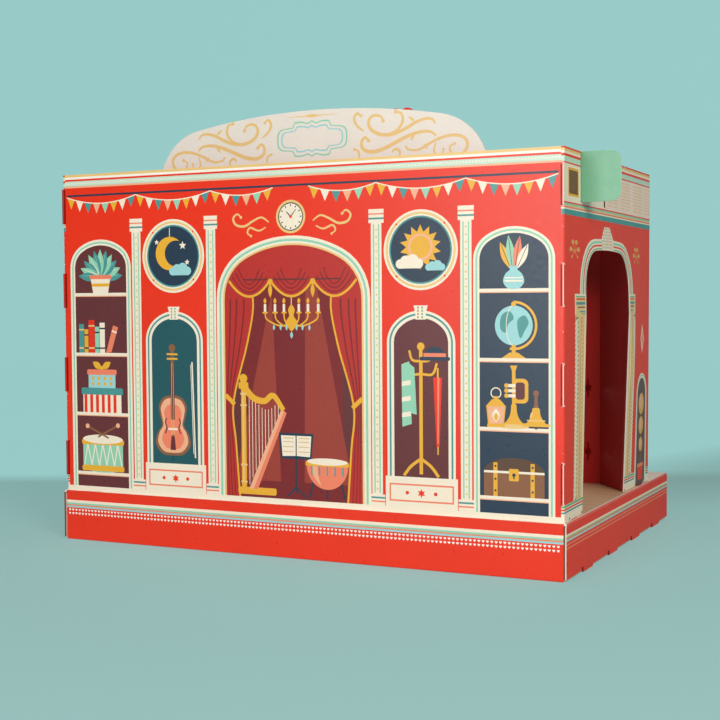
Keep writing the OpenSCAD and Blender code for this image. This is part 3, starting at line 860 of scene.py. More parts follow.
def kettledrum(p):
    """Kettledrum on three legs."""
    p.fill("navy", ribbon([(-13, 18), (-17, 0)], 1.6), ribbon([(13, 18), (17, 0)], 1.6),
           ribbon([(0, 8), (0, 0)], 1.6))
    p.fill("salmon", oval(0, 29, 20, 21, 180, 360))
    p.fill("peach", curve([(-15, 28), (-13, 19), (-6, 11), (-9, 20), (-10, 28)], 4, True))
    p.fill("teal", *[rect(x - 0.7, 20, x + 0.7, 30) for x in (-15, -7.5, 0, 7.5, 15)])
    p.fill("mustard", soft_rect(-21, 28, 21, 32, 1.4))
    p.fill("cream", oval(0, 32, 19.6, 3))


def music_stand(p):
    """Music stand with an open sheet."""
    p.fill("navy", ribbon([(0, 3), (0, 34)], 1.5), ribbon([(0, 8), (-9, 0)], 1.3), ribbon([(0, 8), (9, 0)], 1.3))
    p.fill("navy", poly((-14, 31), (14, 31), (16, 52), (-16, 52)))
    p.fill("cream", poly((-12.6, 33), (-0.5, 33.6), (-0.5, 50), (-14, 50)),
           poly((12.6, 33), (0.5, 33.6), (0.5, 50), (14, 50)))
    for y in (36.5, 40.5, 44.5, 47.5):
        p.fill("sand", rect(-12, y, -2.2, y + 0.8), rect(2.2, y, 12, y + 0.8))


def chandelier(p):
    """Chandelier that hangs from its chain."""
    p.fill("gold", ribbon([(0, 0), (0, -14)], 0.9))
    for k in (1, 0.62, 0.28):
        for s in (-1, 1):
            x = s * 24 * k
            p.fill("mustard", ribbon(curve([(0, -26), (s * 9 * k, -30), (s * 22 * k, -25), (x, -19)], 4), 1.3))
            p.fill("cream", rect(x - 1.1, -19, x + 1.1, -12.5))
            p.fill("mustard", leaf(x, -12.5, x, -7.5, 2.8), soft_rect(x - 2.4, -20, x + 2.4, -18.6, 0.6))
            p.fill("blue", leaf(s * 16 * k, -28.6, s * 16 * k, -33.6, 2))
    p.fill("mustard", curve([(0, -13), (3, -17), (2, -22), (5, -27), (0, -34), (-5, -27), (-2, -22),
                             (-3, -17)], 4, True))
    p.fill("blue", leaf(0, -34, 0, -40, 2.6))


def clock(p):
    """Clock in a ring, with a tick for each hour."""
    p.fill("gold", oval(0, 0, 15.5))
    p.fill("navy", oval(0, 0, 13.2))
    p.fill("cream", oval(0, 0, 12.2))
    for a in np.radians(np.arange(0, 360, 30)):
        c = np.array([np.cos(a), np.sin(a)])
        p.fill("navy", ribbon([c * 9.6, c * 11.4], 1.0))
    p.fill("navy", ribbon([(0, 0), (-4.4, 4.6)], 1.4, 0.8), ribbon([(0, 0), (5.6, 6.6)], 1.1, 0.6))
    p.fill("red", oval(0, 0, 1.5))


def cloud(p, ink="cream"):
    """Cloud of five discs on a flat foot."""
    p.fill(ink, oval(-8, 2.6, 4), oval(-3, 4.6, 5), oval(3.6, 5.2, 5.6), oval(9, 2.8, 4.2), rect(-9, -1.2, 10, 3))


def topiary(p):
    """Clipped tree in a tub."""
    p.fill("brown", rect(-1, 10, 1, 62))
    for y, r in ((64, 9), (46, 7.5), (30, 6)):
        p.fill("ochre", oval(0, y, r))
        p.fill("peach", oval(-r * 0.25, y + r * 0.2, r * 0.62))
    p.fill("red", poly((-6.5, 0), (6.5, 0), (8, 12), (-8, 12)))
    p.fill("salmon", rect(-9, 11, 9, 14))


# Printed faces


def cupboard(p, x, foot, shelves, w, ground):
    """Tall arched cupboard with shelves, drawn on the wall."""
    top = shelves[-1] + 20
    nested(p, lambda grow: arch(x, foot, w + 2 * grow, top - foot, 18 + grow, 15 + grow),
           ("cream", 4.6), ("mint", 2.9), ("cream", 1.5), (ground, 0))
    for y in shelves:
        p.fill("cream", rect(x - w / 2, y - 2.2, x + w / 2, y))
        p.fill("peach", rect(x - w / 2, y - 3.0, x + w / 2, y - 2.2))


def niche(p, x, foot, w, side, ground):
    """Arched niche on a moulded plinth."""
    p.fill("cream", rect(x - w / 2 - 7, foot - 22, x + w / 2 + 7, foot))
    p.fill("salmon", rect(x - w / 2 - 4, foot - 18, x + w / 2 + 4, foot - 5))
    p.fill("cream", rect(x - w / 2 - 2.8, foot - 16.8, x + w / 2 + 2.8, foot - 6.2))
    p.fill("red", star(x, foot - 11.5, 3.4, 1.6, 6), *[oval(x + s * 11, foot - 11.5, 1.4) for s in (-1, 1)])
    rise, r = w * 0.42, w * 0.36
    nested(p, lambda grow: arch(x, foot, w + 2 * grow, side, rise + grow, r + grow),
           ("cream", 5.4), ("teal", 3.6), ("cream", 2.2), (ground, 0))
    keystone(p, x, foot + side + rise - 1, foot + side + rise + 9, 8, 11)


def roundel(p, x, y, r, ground):
    """Round window with a moulded ring and four pins."""
    nested(p, lambda grow: oval(x, y, r + grow),
           ("cream", 5.6), ("gold", 4.0), ("cream", 2.4), ("teal", 1.2), (ground, 0))
    for a in (45, 135, 225, 315):
        c, s = np.cos(np.radians(a)), np.sin(np.radians(a))
        p.fill("red", oval(x + (r + 3.2) * c, y + (r + 3.2) * s, 0.8))


def alcove(p, foot):
    """Middle alcove: drawn drapes, a swagged valance, a chandelier and the instruments below it."""
    w, side, rise, r = 116, 150, 40, 34
    opening = arch(0, foot, w, side, rise, r)
    archivolt(p, 0, foot, w, side, rise, r, ("cream", 2.2), ("mint", 1.8), ("cream", 1.6), ("gold", 1.4))
    p.fill("maroon", opening)
    p.fill("wine", arch(0, foot, 84, 132, 30, 26), rect(-58, foot, 58, foot + 13))
    for x in np.arange(-56, 56, 9.4):
        p.fill("maroon", poly((x, foot), (x + 0.9, foot), (x * 0.8 + 0.7, foot + 13), (x * 0.8, foot + 13)))
    for x in (-30, 30):
        p.fill("rust", poly((x * 0.4, foot + 176), (x * 0.6, foot + 176), (x + 20, foot + 13), (x - 20, foot + 13)))
    jamb = opening[1:8]
    for s in (-1, 1):
        edge = curve([(s * 44, foot + 170), (s * 33, foot + 150), (s * 38, foot + 118), (s * 51, foot + 72),
                      (s * 49, foot + 40), (s * 46, foot)], 5)
        p.fill("drape", np.concatenate([edge, jamb * [s, 1]]))
        for k in (0.32, 0.58, 0.8):
            fold = edge * [1 - k, 1] + [s * 58 * k, 0]
            p.fill("wine", ribbon(fold[5:], 1.4, 0.7))
        p.fill("mustard", ribbon(edge[2:], 1.5), ribbon([(s * 58, foot + 77), (s * 50, foot + 70)], 3.4))
    harp(p.at(-27, foot + 2, 1.08))
    music_stand(p.at(3, foot + 2, 0.92))
    kettledrum(p.at(29, foot + 2, 0.86))
    chandelier(p.at(0, foot + 158, 0.94))
    valance = foot + 164
    p.fill("drape", opening[opening[:, 1] > valance - 3])
    for x0, x1 in ((-54, -18), (-18, 18), (18, 54)):
        p.fill("drape", swag(x0, x1, valance, 12))
        p.fill("wine", *[ribbon(swag(x0 + d, x1 - d, valance + d, 12)[:-2], 0.9) for d in (3, 6, 9)])
        p.fill("mustard", ribbon(swag(x0, x1, valance, 12)[:-2], 1.8))
    p.fill("mustard", *[oval(x, valance - 1, 2.2) for x in (-18, 18)])
    p.fill("mustard", *[leaf(x, valance - 2, x, valance - 13, 3.4) for x in (-18, 18)])


def bunting(p, x0, x1, y, drop, count):
    """String of pennants that hangs in a parabola."""
    inks = ("mustard", "cream", "teal", "peach", "mint")
    t = np.linspace(0, 1, 4 * count + 1)
    line = np.stack([x0 + (x1 - x0) * t, y - drop * 4 * t * (1 - t)], 1)
    for i in range(count):
        a, b = line[4 * i], line[4 * i + 4]
        p.fill(inks[i % 5], poly(a + (b - a) * 0.08, (a + b) / 2 - [0, 8.4], b - (b - a) * 0.08))
    p.fill("cream", ribbon(line, 0.8))


def backstage_print(p, low, high, tongues):
    """Back of the theatre: a painted store of props between pilasters, under a moulded cornice. The print of
    the side walls comes round both corners, worn beside the tongues' ends."""
    half, foot, top = high[0], low[2] + BOARD, high[2]
    p.bands(-half, half, top, ("gold", 2.0), ("white", 1.8), ("red", 1.5), ("dew", 3.9), ("peach", 1.5))
    slanted(p, "cream", -half, half, top - 7.9, top - 6.3, 2.4, 1.2)
    p.fill("cream", rect(-half, foot, half, foot + 4.2))
    base = foot + 4.2
    for s in (-1, 1):
        for x in (70, 139):
            p.fill("cream", rect(s * x - 4.2, base, s * x + 4.2, base + 214))
            for a, b in ((-2.6, -1.5), (1.5, 2.6)):
                p.fill("mint", rect(s * x + a, base + 9, s * x + b, base + 203))
            p.fill("gold", *[oval(s * x, y, 0.8) for y in np.arange(base + 12, base + 202, 5.2)])
            for ink, a, b in (("cream", 0, 8), ("cream", 204, 214), ("salmon", 2.4, 3.5), ("salmon", 210, 211),
                              ("teal", 5.0, 6.3), ("teal", 206.6, 207.9)):
                p.fill(ink, rect(s * x - 6, base + a, s * x + 6, base + b))
    alcove(p, base)
    clock(p.at(0, base + 211, 0.8))
    for s in (-1, 1):
        q = p.at(0, base + 205, 0.62, flip=s < 0)
        scroll(q, [(30, 4), (40, 10), (52, 6), (64, 0), (76, 2), (80, 10), (74, 15), (69, 11)], 2.4, 1.8)
        scroll(q, [(34, -2), (44, -6), (56, -2), (60, -8), (55, -12)], 2.0, 1.6)
    for s in (-1, 1):
        roundel(p, s * 104.5, base + 184, 23, "navy")
        niche(p, s * 104.5, base + 22, 42, 96, "deep_teal" if s < 0 else "maroon")
    q = p.at(-104.5, base + 184)
    q.fill("mustard", np.concatenate([oval(-3, 2, 13, 13, 60, 300), oval(2.5, 2, 10, 10, 292, 68)]))
    q.fill("cream", ribbon([(-3, 15), (-3, 22)], 0.6), star(9, 8, 3.4, 1.5, 5), star(13, -5, 2.4, 1.1, 5),
           star(-15, 11, 2.2, 1, 5))
    cloud(q.at(6, -14, 0.8), "blue")
    q = p.at(104.5, base + 184)
    q.fill("mustard", star(0, 2, 16, 11, 14))
    q.fill("peach", oval(0, 2, 9.6))
    q.fill("mustard", oval(0, 2, 7.8))
    cloud(q.at(-9, -12, 0.85))
    cloud(q.at(11, -14, 0.6), "blue")
    cello(p.at(-106.5, base + 24, 1.08))
    coat_stand(p.at(104.5, base + 22, 1.12))
    shelves = [base + 12 + 48 * i for i in range(4)]
    for s in (-1, 1):
        cupboard(p, s * 174, base, shelves, 50, "maroon" if s < 0 else "navy")
    for y, (prop, x, size) in zip(shelves * 2, (
            (drum, -174, 1.15), (hat_boxes, -174, 1.1), (books, -177, 1.05), (fern, -174, 0.92),
            (chest, 174, 1.0), (trumpet, 174, 1.0), (globe, 174, 0.98), (feathers, 174, 0.76))):
        prop(p.at(x, y, size))
    hand_bell(p.at(190, shelves[1], 0.62))
    lantern(p.at(161, shelves[1], 0.72))
    p.fill("navy", rect(-half + 4, base + 233.4, half - 4, base + 235))
    for a, b in ((-206, -139), (-139, -70), (70, 139), (139, 206)):
        bunting(p, a, b, base + 233, 5.5, 8)
    for a, b in ((-70, -15), (15, 70)):
        bunting(p, a, b, base + 233, 4.5, 6)
    for s in (-1, 1):
        a, b = sorted((s * half, s * (half - 2.3)))
        p.fill("red", rect(a, foot, b, top))
        entablature(p, a, b, top, FRIEZE)
        plinth(p, a, b, foot)
        chips(p, s * (half - 0.9), foot, s * (half - 0.9), top, 9, 3 + s)
    for z, way in zip(tongues, (-1, 1) * len(tongues)):
        p.fill("worn", poly((half - 2.2, z + way * 1.2), (half - 0.8, z - way * 0.2), (half, z - way * 0.2),
                            (half, z + way * 0.5)))


def side_print(p, corner, high, foot, mid, opening, tongues):
    """Outer face of a side wall, from the backstage corner: moulded cornice, frieze, arch, plinth and a niche,
    worn where its tongues end."""
    end, top = high[1] - corner, high[2]
    w, side, rise, r = opening
    left, right, niche_x = mid - w / 2, mid + w / 2, 212
    q = p.at(corner, 0)
    entablature(q, -2, end, top, FRIEZE)
    grille(q, 9.2, top - 32.5, 33.2, top - 13.2)
    q.fill("rust", rect(96.4, top - 34.5, 97.6, top - 31.2))
    q.fill("shell", rect(98, top - 36.7, end, top - 11))
    brick_dashes(q, 103.5, end, top - 34.5, top - 12.5, 37.3, 9)
    for a, b, inner in ((left - 23.5, left, 1), (right, right + 20.5, -1)):
        rope_pilaster(q, a, b, foot + 12, foot + 142, inner)
        capital(q, a, b, foot + 156.2, inner)
    archivolt(q, mid, foot + 156, w, side - 156, rise, r, ("cream", 2.6), ("mint", 2.2), ("cream", 1.6),
              ("red", 2.0), ("cream", 2.0), ("green", 1.4), ("cream", 1.0), crown=0.63)
    keystone(q, mid - 2, foot + side + rise + 0.5, foot + side + rise + 17.1, 30.8, 14.6)
    for x in (23.4, 191.5):
        fleuron(q.at(x, foot + 186.8))
    for a, b in ((-2, left), (right, end)):
        plinth(q, a, b, foot)
    nested(q, lambda grow: arch(niche_x, foot, 27 + 2 * grow, 74, 14 + grow, 11 + grow),
           ("cream", 4.0), ("mint", 2.6), ("cream", 1.6), ("plum", 0))
    topiary(q.at(niche_x, foot + 4, 0.98))
    for ink, s in (("cream", 1.0), ("salmon", 0.62)):
        q.fill(ink, star(niche_x, foot + 120, 12 * s, 6 * s, 2))
    chips(q, 147, top - 0.6, 161, top - 0.6, 5, 21)
    for z, way in zip(tongues, (-1, 1) * len(tongues)):
        q.fill("worn", poly((-2, z - way * 0.9), (1.2, z - way * 0.4), (2.4, z + way * 0.9),
                            (1.4, z + way * 0.4), (-2, z + way)))
    # Nicks in the foot: each umber spot is painted shade in a nick, and the white curl beside it is torn board
    for x in (14.5, left - 1.6, right + 1.4, end - 18):
        q.fill("umber", oval(x, foot + 1.4, 1.3, 0.8))
        q.fill("white", poly((x + 1.6, foot), (x + 4.2, foot + 0.4), (x + 3.2, foot + 2.4)))


def tongue_ends(wall):
    """Heights where a side wall's tongues start and end, in turn."""
    points = cad_faces(wall, 0, 1)[0].reshape(-1, 2)
    return np.unique(np.round(points[points[:, 0] < points[:, 0].min() + 0.05][:, 1], 2))


def notch_sides(wall):
    """Places along a side wall of the sides of its notches: corners between its ends, near its top."""
    low, high = box_mm(wall)
    y, z = cad_faces(wall, 0, 1)[0].reshape(-1, 2).T
    return np.unique(np.round(y[(z > high[2] - 60) & (z < high[2] - 1) & (y > low[1] + 5) & (y < high[1] - 5)], 2))


def tray_long_print(p, low, high):
    """Long side of the tray: coloured lines and two rows of hearts."""
    p.bands(low[0], high[0], high[2] - 7.8, ("cream", 2.2), ("mint", 1.5), ("salmon", 1.0), ("blue", 1.5))
    for drop in (15.7, 18.6):
        hearts(p, low[0] + 0.6, high[0] - 0.6, high[2] - drop)


def tray_short_print(p, low, high, top):
    """Short side of the tray: coloured lines and a row of small green dashes."""
    p.bands(low[1], high[1], top - 7.3, ("cream", 1.4), ("straw", 1.5), ("red", 0.6), ("blue", 1.5), ("red", 1.5),
            ("salmon", 1.1), ("red", 1.5), ("salmon", 1.1))
    slanted(p, "green", low[1] + 1, high[1] - 1, top - 10.2, top - 8.7, 3.4, 1.7)
    for y in np.arange(low[1] + 2, high[1] - 3, 5.1):
        p.fill("cream", rect(y, top - 11.4, y + 1.8, top - 10.8))


def deck_print(p, low, high, walls):
    """Stage floor: brown boards between the walls, pale apron and ledges; the red of the short sides
    comes round the edge."""
    (x0, y0), (x1, y1) = walls
    p.fill("floor", rect(x0, y0, x1, y1))
    for i, y in enumerate(np.arange(y0 + 18, y1 - 4, 18)):
        p.fill("floor_line", rect(x0, y - 0.35, x1, y + 0.35))
        for x in np.arange(x0 + (40 if i % 2 else 95), x1, 110):
            p.fill("floor_line", rect(x - 0.35, y - 17.6, x + 0.35, y - 0.4))
    p.fill("salmon", rect(low[0], high[1] - 9, high[0], high[1] - 7.8),
           rect(low[0], high[1] - 6, high[0], high[1] - 5.2))
    for x in (low[0], high[0] - 0.7):
        p.fill("red", rect(x, low[1], x + 0.7, high[1]))


def facade_print(p, high, proscenium):
    """Front towards the audience: frieze, proscenium arch with its mouldings, gold sprigs and a plinth."""
    half, foot, top = high[0], DECK_TOP, WALL_TOP
    w, side, rise, r = proscenium
    p.fill("cream", rect(-half, top, half, high[2]))
    for x in np.arange(-132, 133, 12):
        p.fill("gold", oval(x, top + 5, 1.6))
    entablature(p, -half, half, top, 18)
    brick_dashes(p, -half, half, top - 27.0, top - 12.5, 41.7, 5)
    for s in (-1, 1):
        a, b = sorted((s * w / 2, s * (w / 2 + 20)))
        rope_pilaster(p, a, b, foot + 12, foot + side - 14, -s)
        capital(p, a, b, foot + side, -s)
        for x, y, size in ((188, 172, 1.15), (190, 110, 0.9), (190, 60, 0.9)):
            fleuron(p.at(s * x, foot + y, size))
        a, b = sorted((s * w / 2, s * half))
        plinth(p, a, b, foot)
    archivolt(p, 0, foot + side - 1, w, 1, rise, r, ("cream", 3.2), ("mint", 1.9), ("cream", 1.2), ("red", 1.9),
              ("cream", 3.2), ("gold", 1.6))
    keystone(p, 0, foot + side + rise + 0.2, foot + side + rise + 20, 34, 22)


def screen_print(p, low, high, window):
    """Audience face of the screen: gathered drapes, a fringed swag and a crest of scrolls."""
    w, side, rise, r = window
    foot = low[2]
    for x in np.arange(low[0] + 4, high[0], 9.0):
        p.fill("wine", taper([(x, foot), (x + 1.5, foot + 90), (x - 1, foot + 170), (x + 0.5, SWAGS)], 2.0))
    archivolt(p, 0, foot, w, side, rise, r, ("gold", 1.4), ("drape", 1.2), ("mustard", 3.2))
    width, drop = 59.3, 24
    for x0 in np.arange(-178, 150, width):
        x1 = x0 + width
        p.fill("drape", swag(x0, x1, SWAGS, drop))
        for inset, share in ((4, 0.7), (9, 0.42)):
            p.fill("wine", ribbon(swag(x0 + inset, x1 - inset, SWAGS, drop * share)[:-2], 1.2))
        p.fill("mustard", ribbon(swag(x0, x1, SWAGS, drop)[:-2], 2.6))
    p.fill("mustard", rect(low[0], SWAGS - 1, high[0], SWAGS + 2))
    for s in (-1, 1):
        q = p.at(0, 300, 1.0, flip=s < 0)
        scroll(q, [(8, 0), (20, 6), (34, 2), (46, -6), (55, 0), (52, 9), (45, 6)], 2.6, 2)
        scroll(q, [(6, 12), (16, 22), (28, 24), (36, 17), (31, 11)], 2.4, 1.8)
    p.fill("gold", star(0, 316, 9, 4, 8), oval(0, 357, 3), leaf(0, 326, 0, 346, 6))


def landscape(p, low, high):
    """Painted cloth of the backdrop: sky, sun, hills and round trees."""
    p.fill("blue", rect(low[0], DECK_TOP, high[0], WALL_TOP - 3.4))
    p.fill("mustard", oval(96, 232, 26))
    for x, y, s in ((-130, 244, 2.2), (-20, 262, 2.6), (140, 268, 2.0), (60, 206, 1.5)):
        cloud(p.at(x, y, s), "white")
    for ink, base, swell, shift in (("mint", 150, 26, 0.4), ("teal", 112, 22, 2.1), ("green", 78, 16, 4.0)):
        x = np.linspace(low[0], high[0], 40)
        ridge = np.stack([x, base + swell * np.sin(x / 62 + shift) + swell * 0.4 * np.sin(x / 23 + shift)], 1)
        p.fill(ink, np.concatenate([ridge, [[high[0], DECK_TOP], [low[0], DECK_TOP]]]))
    rng = np.random.default_rng(7)
    trees = 26
    for x, y, s in zip(rng.uniform(-195, 195, trees), rng.uniform(60, 120, trees), rng.uniform(0.7, 1.3, trees)):
        p.fill("brown", rect(x - s, y, x + s, y + 12 * s))
        p.fill("deep_teal", oval(x, y + 17 * s, 8 * s))
        p.fill("mint", oval(x - 2 * s, y + 19 * s, 4.6 * s))
    path = curve([(-30, 41), (0, 60), (36, 78), (20, 96), (44, 118)], 6)
    p.fill("peach", ribbon(path, 34, 5))


def header_print(p, high):
    """Backstage face of the card: green board with ears, and a cream header with gold scrolls and a bare label."""
    p.fill("ivory", rect(-146, WALL_TOP - 14, 146, high[2] + 1))
    for flip in (False, True):
        scrollwork(p.at(-2, 0, flip=flip))
    p.fill("gold", leaf(-29, 334.3, 25, 334.3, 0.9), leaf(-9, 334.3, 5, 334.3, 2.6))
    cartouche(p, -2.2, 317, 30.5, 14.2, (0, "mint"), (1.3, "ivory"), (3.6, "blue"), (4.9, "ivory"))


# Settings


def ink_setting(label, r, g, b):
    """Colour setting of one ink, given as it is seen."""
    about = f"Ink of the {label.lower()} areas"
    return FloatVectorProperty(name=label, description=about, subtype="COLOR", min=0, max=1, default=srgb(r, g, b))


def opening_setting(label, what, *sizes):
    """Size setting of an arched opening, given in millimetres."""
    about = f"Width, straight height, rise and shoulder radius of the {what}"
    return FloatVectorProperty(name=label, description=about, size=4, unit="LENGTH",
                               default=[s * MM for s in sizes])


def number_setting(label, about, value, unit="NONE"):
    """Number setting, with its unit."""
    return FloatProperty(name=label, description=about, default=value, unit=unit)


class TheatreInks(PropertyGroup):
    """Inks of the print and colours of the bare board."""

    red: ink_setting("Red", 240, 47, 10)
    drape: ink_setting("Drape red", 190, 40, 34)
    wine: ink_setting("Wine", 126, 26, 30)
    rust: ink_setting("Rust", 158, 58, 46)
    maroon: ink_setting("Maroon", 102, 40, 44)
    # Red print of the boards' inner side, printed darker than its own tone: painted shade for the dim inside of the
    # theatre
    deep_red: ink_setting("Inner red", 176, 2, 1)
    salmon: ink_setting("Salmon", 244, 132, 100)
    peach: ink_setting("Peach", 246, 180, 142)
    cream: ink_setting("Cream", 250, 236, 214)
    white: ink_setting("White", 255, 247, 236)
    ivory: ink_setting("Ivory", 240, 230, 219)
    sand: ink_setting("Sand", 222, 190, 140)
    biscuit: ink_setting("Biscuit", 244, 206, 160)
    shell: ink_setting("Shell", 253, 226, 212)
    straw: ink_setting("Straw", 238, 204, 144)
    tan: ink_setting("Tan", 176, 142, 94)
    gold: ink_setting("Gold", 240, 200, 128)
    ochre: ink_setting("Ochre", 228, 174, 88)
    mustard: ink_setting("Mustard", 240, 178, 48)
    mint: ink_setting("Mint", 150, 212, 182)
    dew: ink_setting("Pale mint", 198, 228, 208)
    ear: ink_setting("Card green", 110, 174, 138)
    green: ink_setting("Green", 104, 178, 128)
    blue: ink_setting("Pale blue", 158, 214, 216)
    teal: ink_setting("Teal", 74, 150, 148)
    deep_teal: ink_setting("Deep teal", 28, 84, 92)
    navy: ink_setting("Navy", 32, 52, 74)
    brown: ink_setting("Brown", 142, 92, 60)
    umber: ink_setting("Umber", 92, 62, 42)
    plum: ink_setting("Plum", 98, 62, 58)
    floor: ink_setting("Floor brown", 214, 164, 124)
    floor_line: ink_setting("Floor seam", 176, 128, 92)
    apron: ink_setting("Apron", 240, 226, 212)
    cut: ink_setting("Cut edge", 240, 232, 220)
    worn: ink_setting("Worn edge", 252, 220, 210)


class TheatreStage(PropertyGroup):
    """Openings that the print goes round, floor, lamps and camera."""

    side_arch: opening_setting("Side arch", "arch in a side wall", 116.0, 159.6, 28.8, 28.0)
    arch_middle: number_setting("Arch middle", "From the backstage face to the middle of a side wall's arch",
                                0.1055, "LENGTH")
    proscenium: opening_setting("Proscenium", "opening in the front", 304.0, 140.0, 58.0, 50.0)
    screen_window: opening_setting("Screen window", "opening in the screen", 262.0, 132.0, 50.0, 42.0)

    floor_size: number_setting("Floor size", "Width of the floor sheet", 120.0, "LENGTH")
    paper: ink_setting("Studio paper", 178, 208, 205)
    backdrop: ink_setting("Backdrop", 158, 211, 208)
    key_power: number_setting("Key lamp", "Power of the large soft lamp", 20.0, "POWER")
    side_power: number_setting("Side lamp", "Power of the lamp on the arch side", 27.0, "POWER")
    front_power: number_setting("Front lamp", "Power of the lamp on the audience side", 30.0, "POWER")
    sky: number_setting("Room light", "Strength of the even light of the room", 0.15)
    lens: number_setting("Lens", "Focal length of the camera", 66.4, "CAMERA")


def ink_table():
    """Inks of the settings by name, as linear values with their gloss, 0 or 1."""
    settings = bpy.context.scene.theatre_inks
    return {name: (*getattr(settings, name), 0.0 if name in MATT else 1.0) for name in TheatreInks.__annotations__}


# Operators


class TheatreStep:
    """Options that the steps share."""

    bl_options = {"REGISTER", "UNDO"}


class THEATRE_OT_tray(TheatreStep, Operator):
    """Prints the four outer sides of the tray and gives its inside the bare board"""

    bl_idname = "theatre.tray"
    bl_label = "Tray"

    def execute(self, context):
        for node, side in (("tray_backstage_side", -1), ("tray_audience_side", 1)):
            low, high = box_mm(node)
            front = Print("red")
            tray_long_print(front, low, high)
            creases = [(1, low[2]), (0, low[0]), (0, high[0])]
            add_board(node, 1, side, front, Print("apron"), folds=creases, bend=(1.1, 1.1))
        # Wine and umber on the short sides' cut edges and ends are painted shade in the corner gaps and in the
        # notches of their feet; the right side's ends keep raw board on their outer half
        for node, side, tip in (("tray_left_side", -1, ("wine", "umber")),
                                ("tray_right_side", 1, ("cut", "umber"))):
            low, high = box_mm(node)
            front = Print("red")
            tray_short_print(front, low, high, DECK_TOP)
            ends = [(0, y, tip) for y in (low[1], high[1])]
            add_board(node, 0, side, front, Print("apron"), edge=("wine", "umber"), gloss=RUBBED, ends=ends)
        bare = shared("grey_board", lambda: fleck_board("grey_board", srgb(206, 190, 168), srgb(160, 138, 112)))
        dress_cad(("tray_bottom", "tray_left_liner", "tray_right_liner", "tray_corner_flaps"), bare)
        return {"FINISHED"}


class THEATRE_OT_deck(TheatreStep, Operator):
    """Prints the stage floor"""

    bl_idname = "theatre.deck"
    bl_label = "Stage floor"

    def execute(self, context):
        low, high = box_mm("stage_deck")
        wall_low, wall_high = box_mm("backstage_wall")
        walls = ((wall_low[0], wall_low[1]), (wall_high[0], box_mm("facade")[1][1]))
        front = Print("apron")
        deck_print(front, low, high, walls)
        creases = [(0, low[0]), (0, high[0])]
        add_board("stage_deck", 2, 1, front, Print("apron"), slot="stage_floor", folds=creases, bend=(1.0, 1.0))
        return {"FINISHED"}


class THEATRE_OT_backstage(TheatreStep, Operator):
    """Prints the wall behind the stage"""

    bl_idname = "theatre.backstage"
    bl_label = "Backstage wall"

    def execute(self, context):
        low, high = box_mm("backstage_wall")
        front = Print("red")
        backstage_print(front, low, high, tongue_ends("right_wall"))
        creases = [(0, low[0]), (0, high[0])]
        add_board("backstage_wall", 1, -1, front, Print("deep_red"), folds=creases)
        return {"FINISHED"}


class THEATRE_OT_side_walls(TheatreStep, Operator):
    """Prints the two side walls with their arches"""

    bl_idname = "theatre.side_walls"
    bl_label = "Side walls"

    def execute(self, context):
        stage = context.scene.theatre_stage
        corner = box_mm("backstage_wall")[0][1]
        middle, opening = stage.arch_middle / MM, np.array(stage.side_arch) / MM
        for node, side, tip in (("left_wall", -1, ("wine", "red")), ("right_wall", 1, ("worn", "red"))):
            low, high = box_mm(node)
            front = Print("red")
            side_print(front, corner, high, DECK_TOP, middle, opening, tongue_ends(node))
            # The inner half of the walls' cut edges is printed wine, and the sides of the notches umber and wine:
            # painted shade in the gaps beside the tongues and in the notches
            ends = [(0, low[1], tip)] + [(0, y, ("umber", "wine")) for y in notch_sides(node)]
            add_board(node, 0, side, front, Print("deep_red"), swell=lambda y, z: bulge(node, y, z),
                      edge=("cut", "wine"), gloss=RUBBED, ends=ends)
        return {"FINISHED"}


class THEATRE_OT_facade(TheatreStep, Operator):
    """Prints the front towards the audience and lines its glued ends"""

    bl_idname = "theatre.facade"
    bl_label = "Front"

    def execute(self, context):
        front = Print("red")
        facade_print(front, box_mm("facade")[1], np.array(context.scene.theatre_stage.proscenium) / MM)
        add_board("facade", 1, 1, front, Print("deep_red"))
        red, dark = (ink_table()[name][:3] for name in ("deep_red", "wine"))
        lining = shared("red_lining", lambda: fleck_board("red_lining", red, dark, 0.7))
        dress_cad(("facade_left_flap", "facade_right_flap"), lining)
        return {"FINISHED"}


class THEATRE_OT_screen(TheatreStep, Operator):
    """Prints the lift-out screen and its wings"""

    bl_idname = "theatre.screen"
    bl_label = "Screen"

    def execute(self, context):
        low, high = box_mm("screen_panel")
        front, back = Print("drape"), Print("deep_red")
        screen_print(front, low, high, np.array(context.scene.theatre_stage.screen_window) / MM)
        back.fill("red", rect(-20, 345, 20, high[2] + 1))
        # The screen's cut edges are printed wine: painted shade in its slits and holes
        add_board("screen_panel", 1, 1, front, back, "screen", "screen_board", edge=("wine", "wine"))
        for node, wall, side in (("screen_left_wing", "left_wall", -1), ("screen_right_wing", "right_wall", 1)):
            dress(wing(node, wall, side, ink_table()), node, "screen")
        return {"FINISHED"}


class THEATRE_OT_backdrop(TheatreStep, Operator):
    """Prints the scenery card: header and ears behind, painted cloth in front"""

    bl_idname = "theatre.backdrop"
    bl_label = "Backdrop card"

    def execute(self, context):
        low, high = box_mm("backdrop_card")
        front, back = Print("ear"), Print("cream")
        header_print(front, high)
        landscape(back, low, high)
        add_board("backdrop_card", 1, -1, front, back, "backdrop", "scenery_card")
        return {"FINISHED"}


